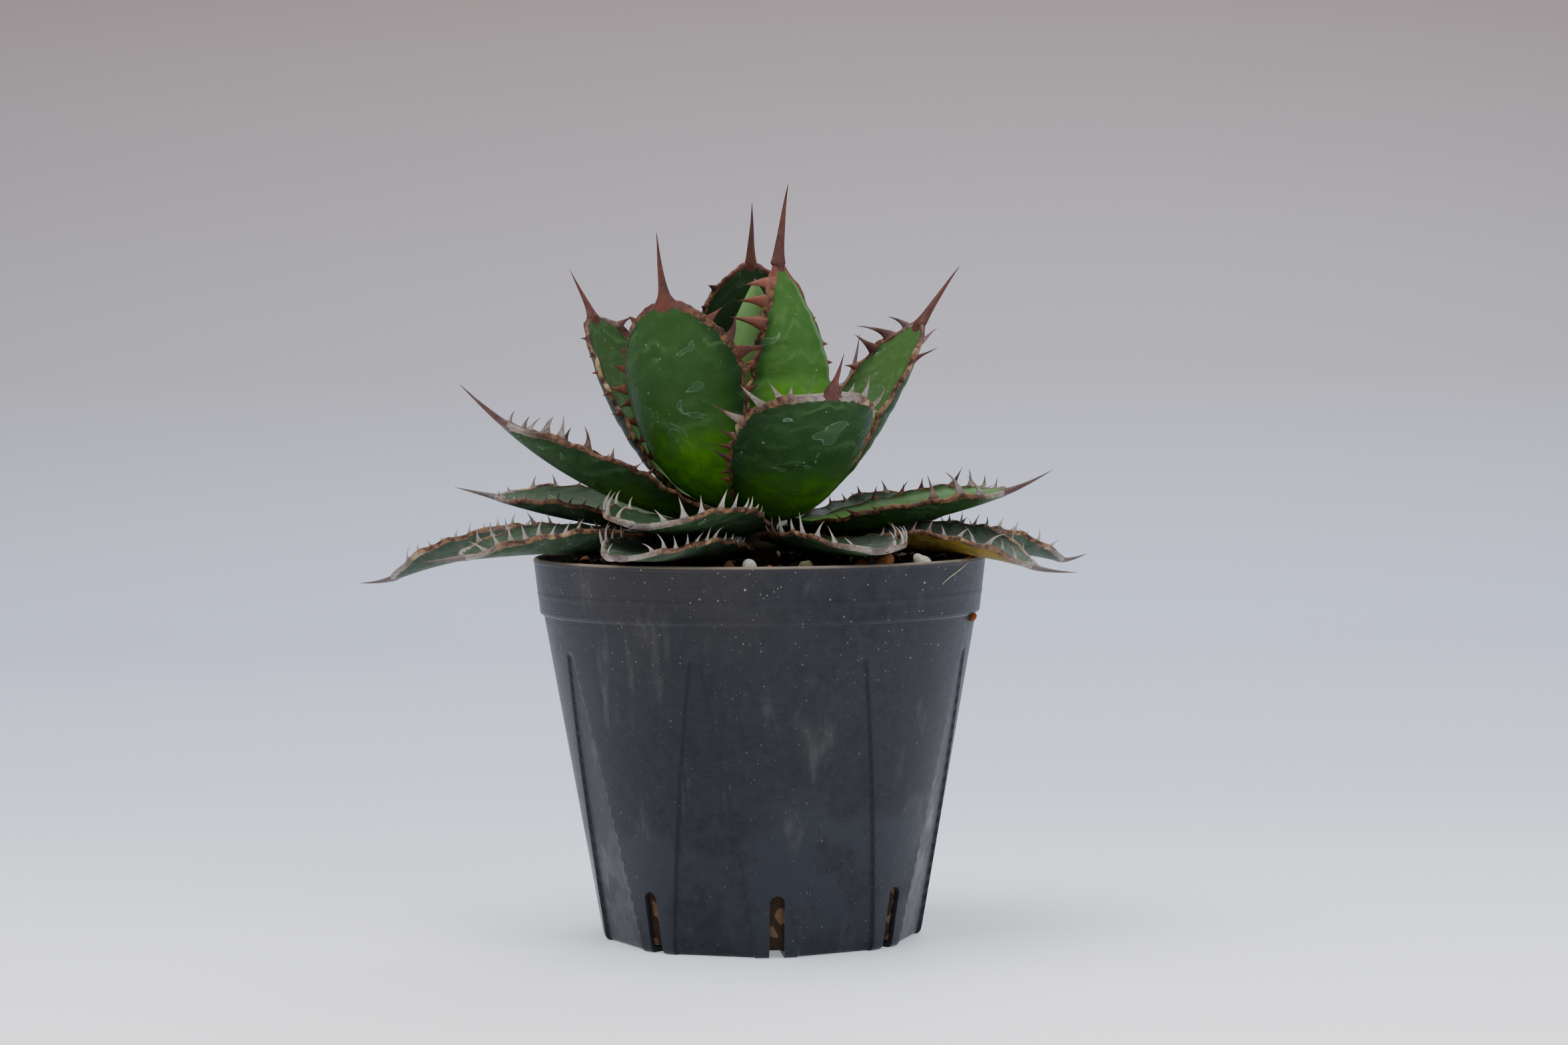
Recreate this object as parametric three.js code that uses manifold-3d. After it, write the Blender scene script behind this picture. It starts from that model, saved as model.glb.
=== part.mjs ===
// A toothed agave rosette in a round nursery pot with eight drainage slits.
// Millimetres, +Z up. The origin is the middle of the pot's flat underside.
// Azimuths are in degrees round the pot: 0 is the front (-Y), 90 the right (+X), 180 the back.
import * as THREE from 'three';
import { mergeVertices } from 'three/addons/utils/BufferGeometryUtils.js';
import Module from 'manifold-3d';

const wasm = await Module();
wasm.setup();

// ---- driving dimensions -------------------------------------------------------------------

const GAP = 0.3;                  // clearance between pieces that touch

const POT = {
  height: 88.5,
  rimRadius: 52.5,
  rimRound: 0.9,                  // height of the rounded lip
  collarFoot: 75.6,               // the collar's lower edge
  collarFootRadius: 51,
  collarStep: 0.8,                // the step in below the collar
  baseRadius: 37.2,               // at the corners, just above the foot's rounding
  footRound: 1.8,
  wall: 1,
  floor: 1.2,
  sides: 8,
  firstPanel: 27.5,               // azimuth of one recessed panel's middle
  panelTop: 67,                   // the inverted V's apex
  panelHalfAngle: 14.5,           // at its foot
  panelTopHalfAngle: 1,
  panelDepth: 0.9,
  panelEdge: 1.4,                 // degrees that the panel's edge slopes over
};
const WALL_ROWS = [POT.footRound, 64, 67.5];   // heights of the wall's rows below the collar
const UNDER_COLLAR = POT.collarFoot - POT.collarStep * 0.7;
const SLIT = { width: 3.4, height: 14.3, innerRadius: 25, outerRadius: 46 };

const SOIL = { top: 85.4, lump: 0.9, holeRadius: 4.9, holeFloor: 72 };
const SOIL_RINGS = [0.93, 0.8, 0.62, 0.4];

const STEM = { rootRadius: SOIL.holeRadius - GAP, rootFoot: SOIL.holeFloor + GAP };
const LEAF_COUNT = 21;
// leaf bases climb the stem in one spiral, the youngest highest and closest to the axis
const CROWN = { topRadius: 4.5, radiusStep: 0.37, topHeight: 102.4, heightStep: 0.68 };

const BUD = { radius: 3.9, foot: 103.2, length: 36, spine: 9, widestAt: 0.35, sides: 10, lean: -2.5 };

const BLADE = { edge: 0.8, inset: 1.45, rows: 11, columns: 6 };
const HORN = {
  foot: 0.12,                     // how far the strip stands above and below the blade's edge
  gap: 0.5,                       // between the blade's edge and the strip
  start: 0.16,                    // where on the edge the strip begins
  toothFoot: 1.5,                 // half width of a long tooth's foot
  toothGap: 0.2,                  // least edge between two teeth's feet
  baseTooth: 0.3,                 // length of the lowest teeth, of the longest
  longestRun: 5.5,                // longest stretch of edge between two columns
  spineStart: 0.9,
};

// ---- small helpers ------------------------------------------------------------------------

const DEG = Math.PI / 180;
const mix = (a, b, t) => a + (b - a) * t;
const clamp = (x, lo, hi) => Math.min(hi, Math.max(lo, x));
const fraction = (x) => x - Math.floor(x);
const GOLDEN = 0.618034;

/** A point at a distance from the axis, an azimuth and a height. */
function polar(radius, azimuth, z) {
  return new THREE.Vector3(radius * Math.sin(azimuth * DEG), -radius * Math.cos(azimuth * DEG), z);
}

/** A closed geometry from points and triangles: doubles merged, slivers dropped, faces out. */
function closedGeometry(points, triangles) {
  const raw = new THREE.BufferGeometry();
  const values = points.flatMap((p) => [p.x, p.y, p.z]);
  raw.setAttribute('position', new THREE.Float32BufferAttribute(values, 3));
  raw.setIndex(triangles.flat());
  const merged = mergeVertices(raw, 1e-3);
  const kept = [];
  const index = merged.index.array;
  for (let i = 0; i < index.length; i += 3) {
    const [a, b, c] = [index[i], index[i + 1], index[i + 2]];
    if (a !== b && b !== c && c !== a) kept.push(a, b, c);
  }
  const place = merged.attributes.position;
  const corner = (i) => new THREE.Vector3().fromBufferAttribute(place, i);
  let volume = 0;
  for (let i = 0; i < kept.length; i += 3) {
    volume += corner(kept[i]).dot(corner(kept[i + 1]).cross(corner(kept[i + 2])));
  }
  if (volume < 0) {
    for (let i = 0; i < kept.length; i += 3) [kept[i], kept[i + 1]] = [kept[i + 1], kept[i]];
  }
  merged.setIndex(kept);
  merged.computeVertexNormals();
  return merged;
}

/** Rows of points round the axis, joined into a shell and closed on a first and a last point. */
function shellOfRows(rows, first, last) {
  const n = rows[0].length;
  const points = [first, last, ...rows.flat()];
  const at = (row, i) => 2 + row * n + (i % n);
  const triangles = [];
  for (let i = 0; i < n; i++) {
    triangles.push([0, at(0, i + 1), at(0, i)]);
    for (let row = 0; row + 1 < rows.length; row++) {
      triangles.push([at(row, i), at(row, i + 1), at(row + 1, i + 1)]);
      triangles.push([at(row, i), at(row + 1, i + 1), at(row + 1, i)]);
    }
    triangles.push([1, at(rows.length - 1, i), at(rows.length - 1, i + 1)]);
  }
  return closedGeometry(points, triangles);
}

function toManifold(geometry) {
  const bare = geometry.clone();
  bare.deleteAttribute('normal');
  bare.deleteAttribute('uv');
  const merged = mergeVertices(bare, 1e-4);
  return new wasm.Manifold(new wasm.Mesh({
    numProp: 3,
    vertProperties: new Float32Array(merged.attributes.position.array),
    triVerts: new Uint32Array(merged.index.array),
  }));
}

function fromManifold(solid) {
  const mesh = solid.getMesh();
  const geometry = new THREE.BufferGeometry();
  geometry.setAttribute('position', new THREE.Float32BufferAttribute(mesh.vertProperties, 3));
  geometry.setIndex(Array.from(mesh.triVerts));
  geometry.computeVertexNormals();
  return geometry;
}

function piece(name, geometry, color, roughness) {
  const material = new THREE.MeshStandardMaterial({ color, roughness, metalness: 0 });
  const mesh = new THREE.Mesh(geometry, material);
  mesh.name = name;
  return mesh;
}

// ---- pot ----------------------------------------------------------------------------------

/** Angles of one side's wall columns, from the middle of its panel, at a height. */
function sideColumns(z) {
  const half = 180 / POT.sides;
  if (z > POT.panelTop + 1) return [-2, -1, 0, 1, 2, 3].map((k) => (k * half) / 3);
  const down = clamp((POT.panelTop - z) / (POT.panelTop - POT.footRound), 0, 1);
  const edge = mix(POT.panelTopHalfAngle, POT.panelHalfAngle, down);
  return [-edge - POT.panelEdge, -edge, 0, edge, edge + POT.panelEdge, half];
}

/** Outer radius of the wall: a cone, with flat recessed panels below the collar. */
function wallRadius(turn, z) {
  const rise = (z - POT.footRound) / (POT.collarFoot - POT.footRound);
  const cone = mix(POT.baseRadius, POT.collarFootRadius - POT.collarStep, rise);
  const down = clamp((POT.panelTop - z) / (POT.panelTop - POT.footRound), 0, 1);
  const edge = mix(POT.panelTopHalfAngle, POT.panelHalfAngle, down);
  if (down === 0 || Math.abs(turn) > edge + 1e-6) return cone;
  const flat = cone * Math.cos(edge * DEG) - POT.panelDepth * down;
  return flat / Math.cos(turn * DEG);
}

/** Outer radius of the collar at a height. */
function collarRadius(z) {
  const rise = (z - POT.collarFoot) / (POT.height - POT.collarFoot);
  return mix(POT.collarFootRadius, POT.rimRadius, rise);
}

/** One row of wall points: radius of the wall at each column, plus an offset. */
function wallRow(z, offset, radiusAt = wallRadius, columnsAt = z) {
  const row = [];
  for (let side = 0; side < POT.sides; side++) {
    const middle = POT.firstPanel + (side * 360) / POT.sides;
    for (const turn of sideColumns(columnsAt)) {
      row.push(polar(radiusAt(turn, z) + offset, middle + turn, z));
    }
  }
  return row;
}

function makePot() {
  const { wall, footRound, collarFoot, height, rimRound } = POT;
  const foot = (turn) => wallRadius(turn, footRound) - footRound;
  const collar = (turn, z) => collarRadius(z);
  const rows = [
    wallRow(0, 0, foot, footRound),
    ...WALL_ROWS.map((z) => wallRow(z, 0)),
    wallRow(UNDER_COLLAR, 0),
    wallRow(collarFoot, 0, collar),
    wallRow(height - rimRound, 0, collar),
    wallRow(height, -wall * 0.35, collar),
    wallRow(height, -wall * 0.8, collar),
    wallRow(height - rimRound, -wall, collar),
    wallRow(collarFoot + wall, -wall, collar),
    wallRow(UNDER_COLLAR + wall, -wall),
    ...WALL_ROWS.slice().reverse().map((z) => wallRow(z, -wall)),
    wallRow(POT.floor, -wall * 0.6, foot, footRound),
  ];
  let solid = toManifold(shellOfRows(rows, polar(0, 0, 0), polar(0, 0, POT.floor)));
  for (let side = 0; side < POT.sides; side++) {
    const azimuth = POT.firstPanel + ((side + 0.5) * 360) / POT.sides;
    solid = solid.subtract(toManifold(slitCutter(azimuth)));
  }
  return fromManifold(solid);
}

/** What one slit takes out: a tall round-topped slot that also runs in under the base. */
function slitCutter(azimuth) {
  const half = SLIT.width / 2;
  const outline = new THREE.Shape();
  outline.moveTo(-half, -1);
  outline.lineTo(half, -1);
  outline.lineTo(half, SLIT.height - half);
  outline.absarc(0, SLIT.height - half, half, 0, Math.PI, false);
  outline.lineTo(-half, -1);
  const depth = SLIT.outerRadius - SLIT.innerRadius;
  const cutter = new THREE.ExtrudeGeometry(outline, { depth, bevelEnabled: false, curveSegments: 4 });
  cutter.rotateX(Math.PI / 2);
  cutter.translate(0, -SLIT.innerRadius, 0);
  cutter.rotateZ(azimuth * DEG);
  return cutter;
}

// ---- soil and chips -----------------------------------------------------------------------

/** Height of the soil: a level bed with grain-sized lumps. */
function soilHeight(radius, azimuth) {
  const [x, y] = [radius * Math.sin(azimuth * DEG), radius * Math.cos(azimuth * DEG)];
  const lumps = Math.sin(x * 1.3 + 2 * Math.sin(y * 0.7)) * Math.cos(y * 1.1 + Math.sin(x * 0.9));
  return SOIL.top + SOIL.lump * 0.5 * lumps;
}

function makeSoil() {
  const inset = -POT.wall - GAP - 0.1;
  const foot = POT.floor + GAP;
  const footRadius = (turn) => wallRadius(turn, POT.footRound) - POT.wall;
  const rows = [wallRow(foot, inset, footRadius, POT.footRound)];
  for (const z of WALL_ROWS) rows.push(wallRow(z, inset));
  rows.push(wallRow(UNDER_COLLAR + POT.wall, inset - 0.8));
  const azimuths = rows[rows.length - 1].map((p) => Math.atan2(p.x, -p.y) / DEG);
  const reach = collarRadius(SOIL.top) + inset;
  rows.push(azimuths.map((a) => polar(reach, a, soilHeight(reach, a))));
  for (const ring of SOIL_RINGS) {
    rows.push(azimuths.map((a) => polar(reach * ring, a, soilHeight(reach * ring, a))));
  }
  rows.push(azimuths.map((a) => polar(SOIL.holeRadius, a, SOIL.top)));
  rows.push(azimuths.map((a) => polar(SOIL.holeRadius, a, SOIL.holeFloor)));
  return shellOfRows(rows, polar(0, 0, foot), polar(0, 0, SOIL.holeFloor));
}

const CHIPS = [
  { name: 'pumice_chip_front', azimuth: -3, radius: 46.2, size: [2.3, 1.7, 1.5], turn: 20, color: 0xded6c6 },
  { name: 'bark_chip_front', azimuth: -8.6, radius: 46.3, size: [1.8, 1.6, 1.6], turn: 60, color: 0x6a4a24 },
  { name: 'clay_chip_front', azimuth: 13, radius: 46, size: [2.4, 1.5, 1.1], turn: -15, color: 0x5c4f2a },
  { name: 'clay_chip_right', azimuth: 37, radius: 45.6, size: [2.6, 1.9, 1.6], turn: 30, color: 0x9a5b26 },
  { name: 'pumice_chip_right', azimuth: 52, radius: 46.4, size: [2.5, 1.9, 1.5], turn: -30, color: 0xd9cfba },
];

/** A broken chip: an icosahedron pushed in and out, resting flat on the soil. */
function makeChip(chip) {
  const geometry = new THREE.IcosahedronGeometry(1, 1);
  const place = geometry.attributes.position;
  for (let i = 0; i < place.count; i++) {
    const p = new THREE.Vector3().fromBufferAttribute(place, i);
    const dent = 1 + 0.14 * Math.sin(5 * p.x + chip.azimuth) * Math.cos(4 * p.y - 3 * p.z);
    place.setXYZ(i, p.x * dent, p.y * dent, p.z * dent);
  }
  geometry.scale(...chip.size);
  geometry.rotateZ(chip.turn * DEG);
  geometry.computeBoundingBox();
  const seat = SOIL.top + SOIL.lump * 0.5 + GAP - geometry.boundingBox.min.z;
  const middle = polar(chip.radius, chip.azimuth, seat);
  geometry.translate(middle.x, middle.y, middle.z);
  return geometry;
}

// ---- stem and bud -------------------------------------------------------------------------

const baseRadius = (index) => CROWN.topRadius + CROWN.radiusStep * index;
const baseHeight = (index) => CROWN.topHeight - CROWN.heightStep * index;

/** The short stem: a root in the soil's hole under a cone that carries the leaf bases. */
function makeStem() {
  const last = LEAF_COUNT - 1;
  const clear = 3 * GAP;
  const profile = [
    [0, STEM.rootFoot],
    [STEM.rootRadius * 0.6, STEM.rootFoot],
    [STEM.rootRadius, STEM.rootFoot + 4],
    [STEM.rootRadius, SOIL.top + 1],
    [baseRadius(last) - clear, baseHeight(last) - 2],
    [baseRadius(last) - clear, baseHeight(last)],
    [baseRadius(0) - GAP, baseHeight(0) + 0.2],
    [0, BUD.foot - GAP],
  ];
  const stem = new THREE.LatheGeometry(profile.map(([r, z]) => new THREE.Vector2(r, z)), 20);
  stem.rotateX(Math.PI / 2);
  return stem;
}

/** The unopened leaf at the heart: a rolled cone that ends in a spine. */
function makeBud() {
  const steps = [0, 0.12, BUD.widestAt, 0.55, 0.75, 0.9, 1];
  const radiusAt = (t) => {
    if (t < BUD.widestAt) return mix(0.62, 1, t / BUD.widestAt) * BUD.radius;
    const up = (t - BUD.widestAt) / (1 - BUD.widestAt);
    return BUD.radius * mix(1, 0.16, up ** 1.2);
  };
  const rows = steps.map((t) => {
    const row = [];
    for (let k = 0; k < BUD.sides; k++) {
      const p = polar(radiusAt(t), (k * 360) / BUD.sides, BUD.foot + t * BUD.length);
      row.push(p.add(new THREE.Vector3(BUD.lean * t ** 2, 0, 0)));
    }
    return row;
  });
  const tip = new THREE.Vector3(BUD.lean, 0, BUD.foot + BUD.length + BUD.spine);
  return shellOfRows(rows, new THREE.Vector3(0, 0, BUD.foot), tip);
}

// ---- leaves -------------------------------------------------------------------------------

// Youngest first. azimuth: where the leaf points. lift: the base's angle above level, which turns
// into rise within about `turn` of the length, with droop more degrees by the tip. cup: how far the
// blade curls up across each half, in radians. roll: the blade's turn about its own midrib.
// spine: length of the end spine, hook: how far it bends up. teeth: number on each side, longest
// tooth and the angle that the teeth stand up at. left, right: teeth placed one by one, each as
// [distance from the tip along the edge, length].
const LEAVES = [
  { azimuth: 38, lift: 45, turn: 0.15, rise: 89.5, droop: 9, power: 1.2, length: 55, width: 25,
    widest: 0.42, taper: 1.1, cup: 1.2, tipCup: 1, roll: -6, spine: 18, hook: -3,
    teeth: [8, 5.2, 15],
    left: [[6, 4.8], [10.5, 6.4], [16, 7.2], [19.5, 1.6], [22.5, 1.4], [26, 3], [30, 1.5],
      [34, 1.2]],
    right: [[8.5, 0.9], [14.5, 1.1], [21, 1.8], [26, 1.8], [31, 1.5], [36, 1.2]] },
  { azimuth: 190, lift: 45, rise: 81.5, droop: 20, power: 1.2, length: 56.5, width: 31,
    widest: 0.6, taper: 2.1, cup: 1, tipCup: 0.9, spine: 14, hook: -1, teeth: [7, 4.6, 15] },
  { azimuth: -42, lift: -5, rise: 65, droop: 10, length: 55, width: 34, widest: 0.66, taper: 1.5,
    cup: 0.9, tipCup: 0.8, roll: 10, spine: 16, hook: 1.5, base: 0.36, teeth: [9, 4.6, 20],
    left: [[10, 2.2], [15.5, 2.4], [20.5, 1.6], [25, 2.6], [30, 4.2], [34, 3.4], [38.5, 4],
      [43, 3], [47.5, 2.2]],
    right: [[12, 3.4], [19, 4.8], [23, 6.2], [28, 3], [33, 3.5], [38, 3], [43, 2.5], [48, 2]] },
  { azimuth: 103, lift: 0, rise: 60, droop: -2, length: 54.5, width: 24, taper: 1.6, cup: 0.6,
    tipCup: 0.6, roll: 16, spine: 17, hook: -1.5, teeth: [8, 5.5, 25],
    left: [[7.5, 3.4], [13.5, 5.2], [20, 1.6], [25, 1.2], [30, 1.4], [36, 1.2], [42, 1]],
    right: [[4.5, 4.6], [9, 7], [14, 6], [20, 3], [26, 2.4], [32, 2], [39, 1.6]] },
  { azimuth: -111, lift: -5, turn: 0.15, rise: 57, droop: 8, length: 59, width: 26, taper: 1.6,
    cup: 0.75, tipCup: 0.7, roll: -16, spine: 13, hook: -1, base: 0.3, teeth: [9, 4.4, 30],
    left: [[7, 4], [12, 4.6], [18, 4], [24, 3.4], [30, 3], [36, 2.4]],
    right: [[9, 2], [14, 1.6], [19, 2.2], [25, 2.2], [31, 2.4], [37, 2], [43, 1.6]] },
  { azimuth: 19, lift: -2.5, turn: 0.15, rise: 36, droop: 6, length: 51.5, width: 33, widest: 0.62,
    taper: 2, cup: 0.9, tipCup: 0.7, thick: 4.4, spine: 12, hook: 0.5, teeth: [7, 5.6, 35],
    left: [[5, 1.6], [10.5, 3.6], [16.5, 5.6], [24, 7], [30, 4], [34.5, 4.4], [38.5, 4.4],
      [42, 3.6], [45.5, 3], [49, 2.2]],
    right: [[5, 3], [10, 5.6], [16, 4.8], [21, 1.8], [26, 1.6], [31, 1.4], [37, 1.2], [43, 1]] },
  { azimuth: 150, lift: 4, turn: 0.15, rise: 38.5, droop: 12, length: 48.5, width: 27, spine: 13,
    hook: 3.5, teeth: [7, 4.8, 35] },
  { azimuth: -72, lift: 6, turn: 0.15, rise: 18.5, droop: 14, length: 58, width: 27, taper: 1.5,
    cup: 0.75, tipCup: 0.7, roll: -4, spine: 14, hook: 1.7, teeth: [8, 4.6, 50],
    left: [[4.5, 3], [10, 3.6], [16, 4.6], [22, 4], [28, 3], [34, 2]],
    right: [[8, 4.2], [11.8, 4.6], [15.3, 5.4], [22, 5], [28, 3], [34, 2.2], [38, 2.4], [42, 1.6],
      [46, 1.4]] },
  { azimuth: 80, lift: -6, rise: 7.5, droop: 4, length: 50.5, width: 25, taper: 1.5, cup: 0.4,
    tipCup: 0.5, roll: 6, thick: 3.6, spine: 12, hook: 2.5, teeth: [7, 5.4, 60],
    left: [[9, 4.6], [14, 6], [20.2, 5.8], [26, 0.8], [34, 1.8], [39.5, 2.3], [43, 1.6]],
    right: [[6.5, 2.6], [9.8, 3.6], [13.4, 4.2], [18, 5], [26, 3], [31, 2.8], [37.5, 3.2]] },
  { azimuth: -150, lift: 4, rise: 7, droop: 6, length: 55, width: 25, cup: 0.6, thick: 3.4,
    spine: 12, hook: 1.5, teeth: [7, 4.6, 55] },
  { azimuth: -25, lift: 0, rise: 4, droop: -2, length: 52, width: 32, widest: 0.66, taper: 2.2,
    cup: 0.4, tipCup: 0.6, thick: 3, spine: 7, hook: -1, teeth: [9, 4.8, 60],
    left: [[7, 3.6], [12, 5.6], [16.5, 4.8], [21, 4.2], [27, 3.6], [33, 3]],
    right: [[5, 3.4], [9.5, 5], [13.5, 4], [19, 4.6], [23.5, 3.6], [28, 3], [31.5, 2.8], [35, 2.6],
      [38.5, 2.4], [42, 2]] },
  { azimuth: 124, lift: 0, rise: 5, droop: 4, length: 50, width: 24, cup: 0.6, thick: 3, spine: 11,
    hook: 1.5, roll: 2, teeth: [7, 4.4, 60] },
  { azimuth: -98.5, lift: 11, turn: 0.2, rise: 5, droop: 6, length: 54, width: 26, taper: 1.5,
    cup: 0.4, roll: -8, thick: 2.7, spine: 10.5, teeth: [9, 4, 65],
    left: [[5, 1.6], [11, 3.2], [16.5, 3], [22, 1.6], [27, 2], [33, 1.6]],
    right: [[4, 1.8], [7, 2], [10, 2], [13, 2], [16, 2.2], [19, 2], [22, 2], [25, 2], [28.5, 2],
      [32, 1.8]] },
  { azimuth: 28, lift: -5, rise: -0.5, droop: -2, length: 46, width: 25, widest: 0.66, taper: 2.4,
    cup: 0.3, tipCup: 0.4, thick: 3.2, spine: 8.5, hook: 4, roll: -3.5, teeth: [8, 4.6, 75],
    left: [[6, 1.8], [10, 3.6], [14.5, 4], [19.5, 4.4], [24, 3.8], [29, 4.6], [34.5, 4], [40, 3],
      [45, 2.6]],
    right: [[4.5, 4], [8, 4.6], [12, 4.4], [16, 3.4], [21, 3], [27, 2.4]] },
  { azimuth: 163, lift: -8, rise: 6, droop: 0, length: 52, width: 24, cup: 0.6, thick: 3.2,
    spine: 10, hook: 1.5, teeth: [7, 4.2, 65] },
  { azimuth: -65.5, lift: -4, rise: 6.5, droop: -18, power: 1.6, length: 63.5, width: 24,
    taper: 1.5, cup: 0.3, roll: -2, thick: 3, spine: 10, hook: 1, base: 0.34, teeth: [9, 4.2, 45],
    right: [[6.8, 3.4], [9.8, 3.2], [13, 3.8], [16.2, 4.2], [19.2, 4], [22.2, 3], [25.2, 2.6],
      [28.2, 2.6], [31.5, 2], [35, 1.6], [39, 1.4]] },
  { azimuth: 72, lift: -4, rise: 9, droop: -32, power: 1.6, length: 56, width: 25, taper: 1.5,
    cup: 0.3, roll: 4, thick: 2.6, spine: 10, hook: 2.6, teeth: [9, 4, 70],
    left: [[7, 2.4], [10.5, 2.6], [14, 4], [17.3, 3.2], [20.5, 3], [24, 2.8], [27.3, 3.2],
      [31, 2.4], [35, 3]],
    right: [[9, 1.6], [13, 2], [16.5, 2.4], [20, 2.4], [23, 3], [26, 2.4], [29, 2.4]] },
  { azimuth: -148, lift: -1, rise: 5.5, droop: -14, power: 1.6, length: 56, width: 23, cup: 0.6,
    thick: 3, spine: 10, hook: 1.5, teeth: [7, 4, 70] },
  { azimuth: -27, lift: -2, rise: 6, droop: -10, power: 1.6, length: 55, width: 25, cup: 0.4,
    tipCup: 0.5, thick: 2.8, spine: 7, hook: 2, teeth: [9, 4.4, 36],
    left: [[4, 3.4], [8, 4.6], [12.5, 5.2], [17, 4.2], [22, 3.4], [28, 3]],
    right: [[7, 2.6], [10, 3.6], [13.2, 3.4], [16.5, 2.6], [19.5, 2.4], [22.7, 3], [26, 2.8],
      [30, 2.4], [33.5, 2], [37, 1.8], [41, 1.6]] },
  { azimuth: 107, lift: -1, rise: 10, droop: -30, power: 1.6, length: 64.5, width: 24, taper: 1.5,
    cup: 0.3, thick: 2.8, spine: 6, hook: 3.3, roll: -1, teeth: [9, 3.8, 70] },
  { azimuth: -98, lift: 0, rise: 12.5, droop: -39, power: 1.6, length: 77, width: 24, taper: 1.5,
    cup: 0.3, roll: 6, thick: 2.8, spine: 8, hook: 2.3, teeth: [10, 3.8, 60],
    right: [[9.5, 2.6], [13, 1.8], [16.5, 2.4], [19.8, 1.6], [23, 2.4], [26.5, 2.6], [30, 1.6],
      [33.4, 2.6], [36.8, 2.6], [40.2, 3], [43.6, 2.2], [47, 2]] },
].map((leaf, index) => ({
  power: 1.3, turn: 0.13, widest: 0.55, taper: 1.7, cup: 1.2, tipCup: 0.8, roll: 0, hook: 0,
  base: 0.4, thick: 4, ...leaf, index, baseRadius: baseRadius(index), baseHeight: baseHeight(index),
}));

const settle = (s, reach) => 1 - Math.exp(-Math.max(s, 0) / reach);

/** Half width of the leaf at s along it: swells from the base, then rounds off to the tip. */
function halfWidth(leaf, s) {
  if (s < leaf.widest) {
    const swell = Math.sin(((clamp(s, 0, 1) / leaf.widest) * Math.PI) / 2);
    return (leaf.width / 2) * mix(leaf.base, 1, swell);
  }
  const t = clamp((s - leaf.widest) / (1 - leaf.widest), 0, 1);
  return (leaf.width / 2) * Math.sqrt(1 - t ** leaf.taper);
}

/** Full thickness at the midrib. */
function midThickness(leaf, s) {
  const swell = mix(0.5, 1, Math.sin((clamp(s / 0.4, 0, 1) * Math.PI) / 2));
  const thin = 1 - 0.7 * (Math.max(s - 0.4, 0) / 0.62) ** 2.2;
  return Math.min(leaf.thick * swell * thin, 0.25 * halfWidth(leaf, s) + 0.6);
}

/** Angle of the midrib above level at s. */
function elevation(leaf, s) {
  const settled = leaf.rise + (leaf.lift - leaf.rise) * (1 - settle(s, leaf.turn));
  return (settled + leaf.droop * Math.max(s, 0) ** leaf.power) * DEG;
}

/** Adds the midrib's curve to a leaf: points at even steps, found by walking along it. */
function withMidrib(leaf) {
  const steps = 60;
  const outward = polar(1, leaf.azimuth, 0);
  const walk = [polar(leaf.baseRadius, leaf.azimuth, leaf.baseHeight)];
  for (let k = 0; k < steps; k++) {
    const angle = elevation(leaf, (k + 0.5) / steps);
    const stride = leaf.length / steps;
    const next = walk[k].clone().addScaledVector(outward, Math.cos(angle) * stride);
    next.z += Math.sin(angle) * stride;
    walk.push(next);
  }
  return { ...leaf, outward, walk };
}

/** Point on the leaf: `along` and `across` are distances laid out flat, `above` is off its top. */
function leafPoint(leaf, along, across, above) {
  const s = along / leaf.length;
  const steps = leaf.walk.length - 1;
  const angle = elevation(leaf, Math.min(s, 1));
  const ahead = leaf.outward.clone().multiplyScalar(Math.cos(angle));
  ahead.z = Math.sin(angle);
  const k = Math.min(Math.floor(clamp(s, 0, 1) * steps), steps - 1);
  const point = leaf.walk[k].clone().lerp(leaf.walk[k + 1], clamp(s, 0, 1) * steps - k);
  point.addScaledVector(ahead, (s - clamp(s, 0, 1)) * leaf.length);
  const flat = new THREE.Vector3(Math.cos(leaf.azimuth * DEG), Math.sin(leaf.azimuth * DEG), 0);
  const roll = leaf.roll * DEG * settle(s, 0.15);
  const side = flat.applyAxisAngle(ahead, roll);
  const up = new THREE.Vector3().crossVectors(ahead, side);
  const curl = leaf.cup * (0.1 + 0.9 * settle(s, 0.25)) + (leaf.tipCup - leaf.cup) * clamp(s, 0, 1);
  const bend = curl / (leaf.width / 2);
  const turn = bend * across;
  point.addScaledVector(side, Math.sin(turn) / bend - Math.sin(turn) * above);
  point.addScaledVector(up, (1 - Math.cos(turn)) / bend + Math.cos(turn) * above);
  return point;
}

/** The flat outline at q (0 base, 1 tip), moved outward by `offset`: [along, across]. */
function outlinePoint(leaf, q, offset) {
  const at = (u) => {
    const s = Math.sin((u * Math.PI) / 2);
    return [s * leaf.length, halfWidth(leaf, s)];
  };
  if (q > 0.999) return [leaf.length + offset, 0];
  const [x0, y0] = at(Math.max(q - 0.004, 0));
  const [x1, y1] = at(Math.min(q + 0.004, 1));
  const run = Math.hypot(x1 - x0, y1 - y0);
  const [x, y] = at(q);
  return [x + ((y0 - y1) / run) * offset, y + ((x1 - x0) / run) * offset];
}

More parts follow.
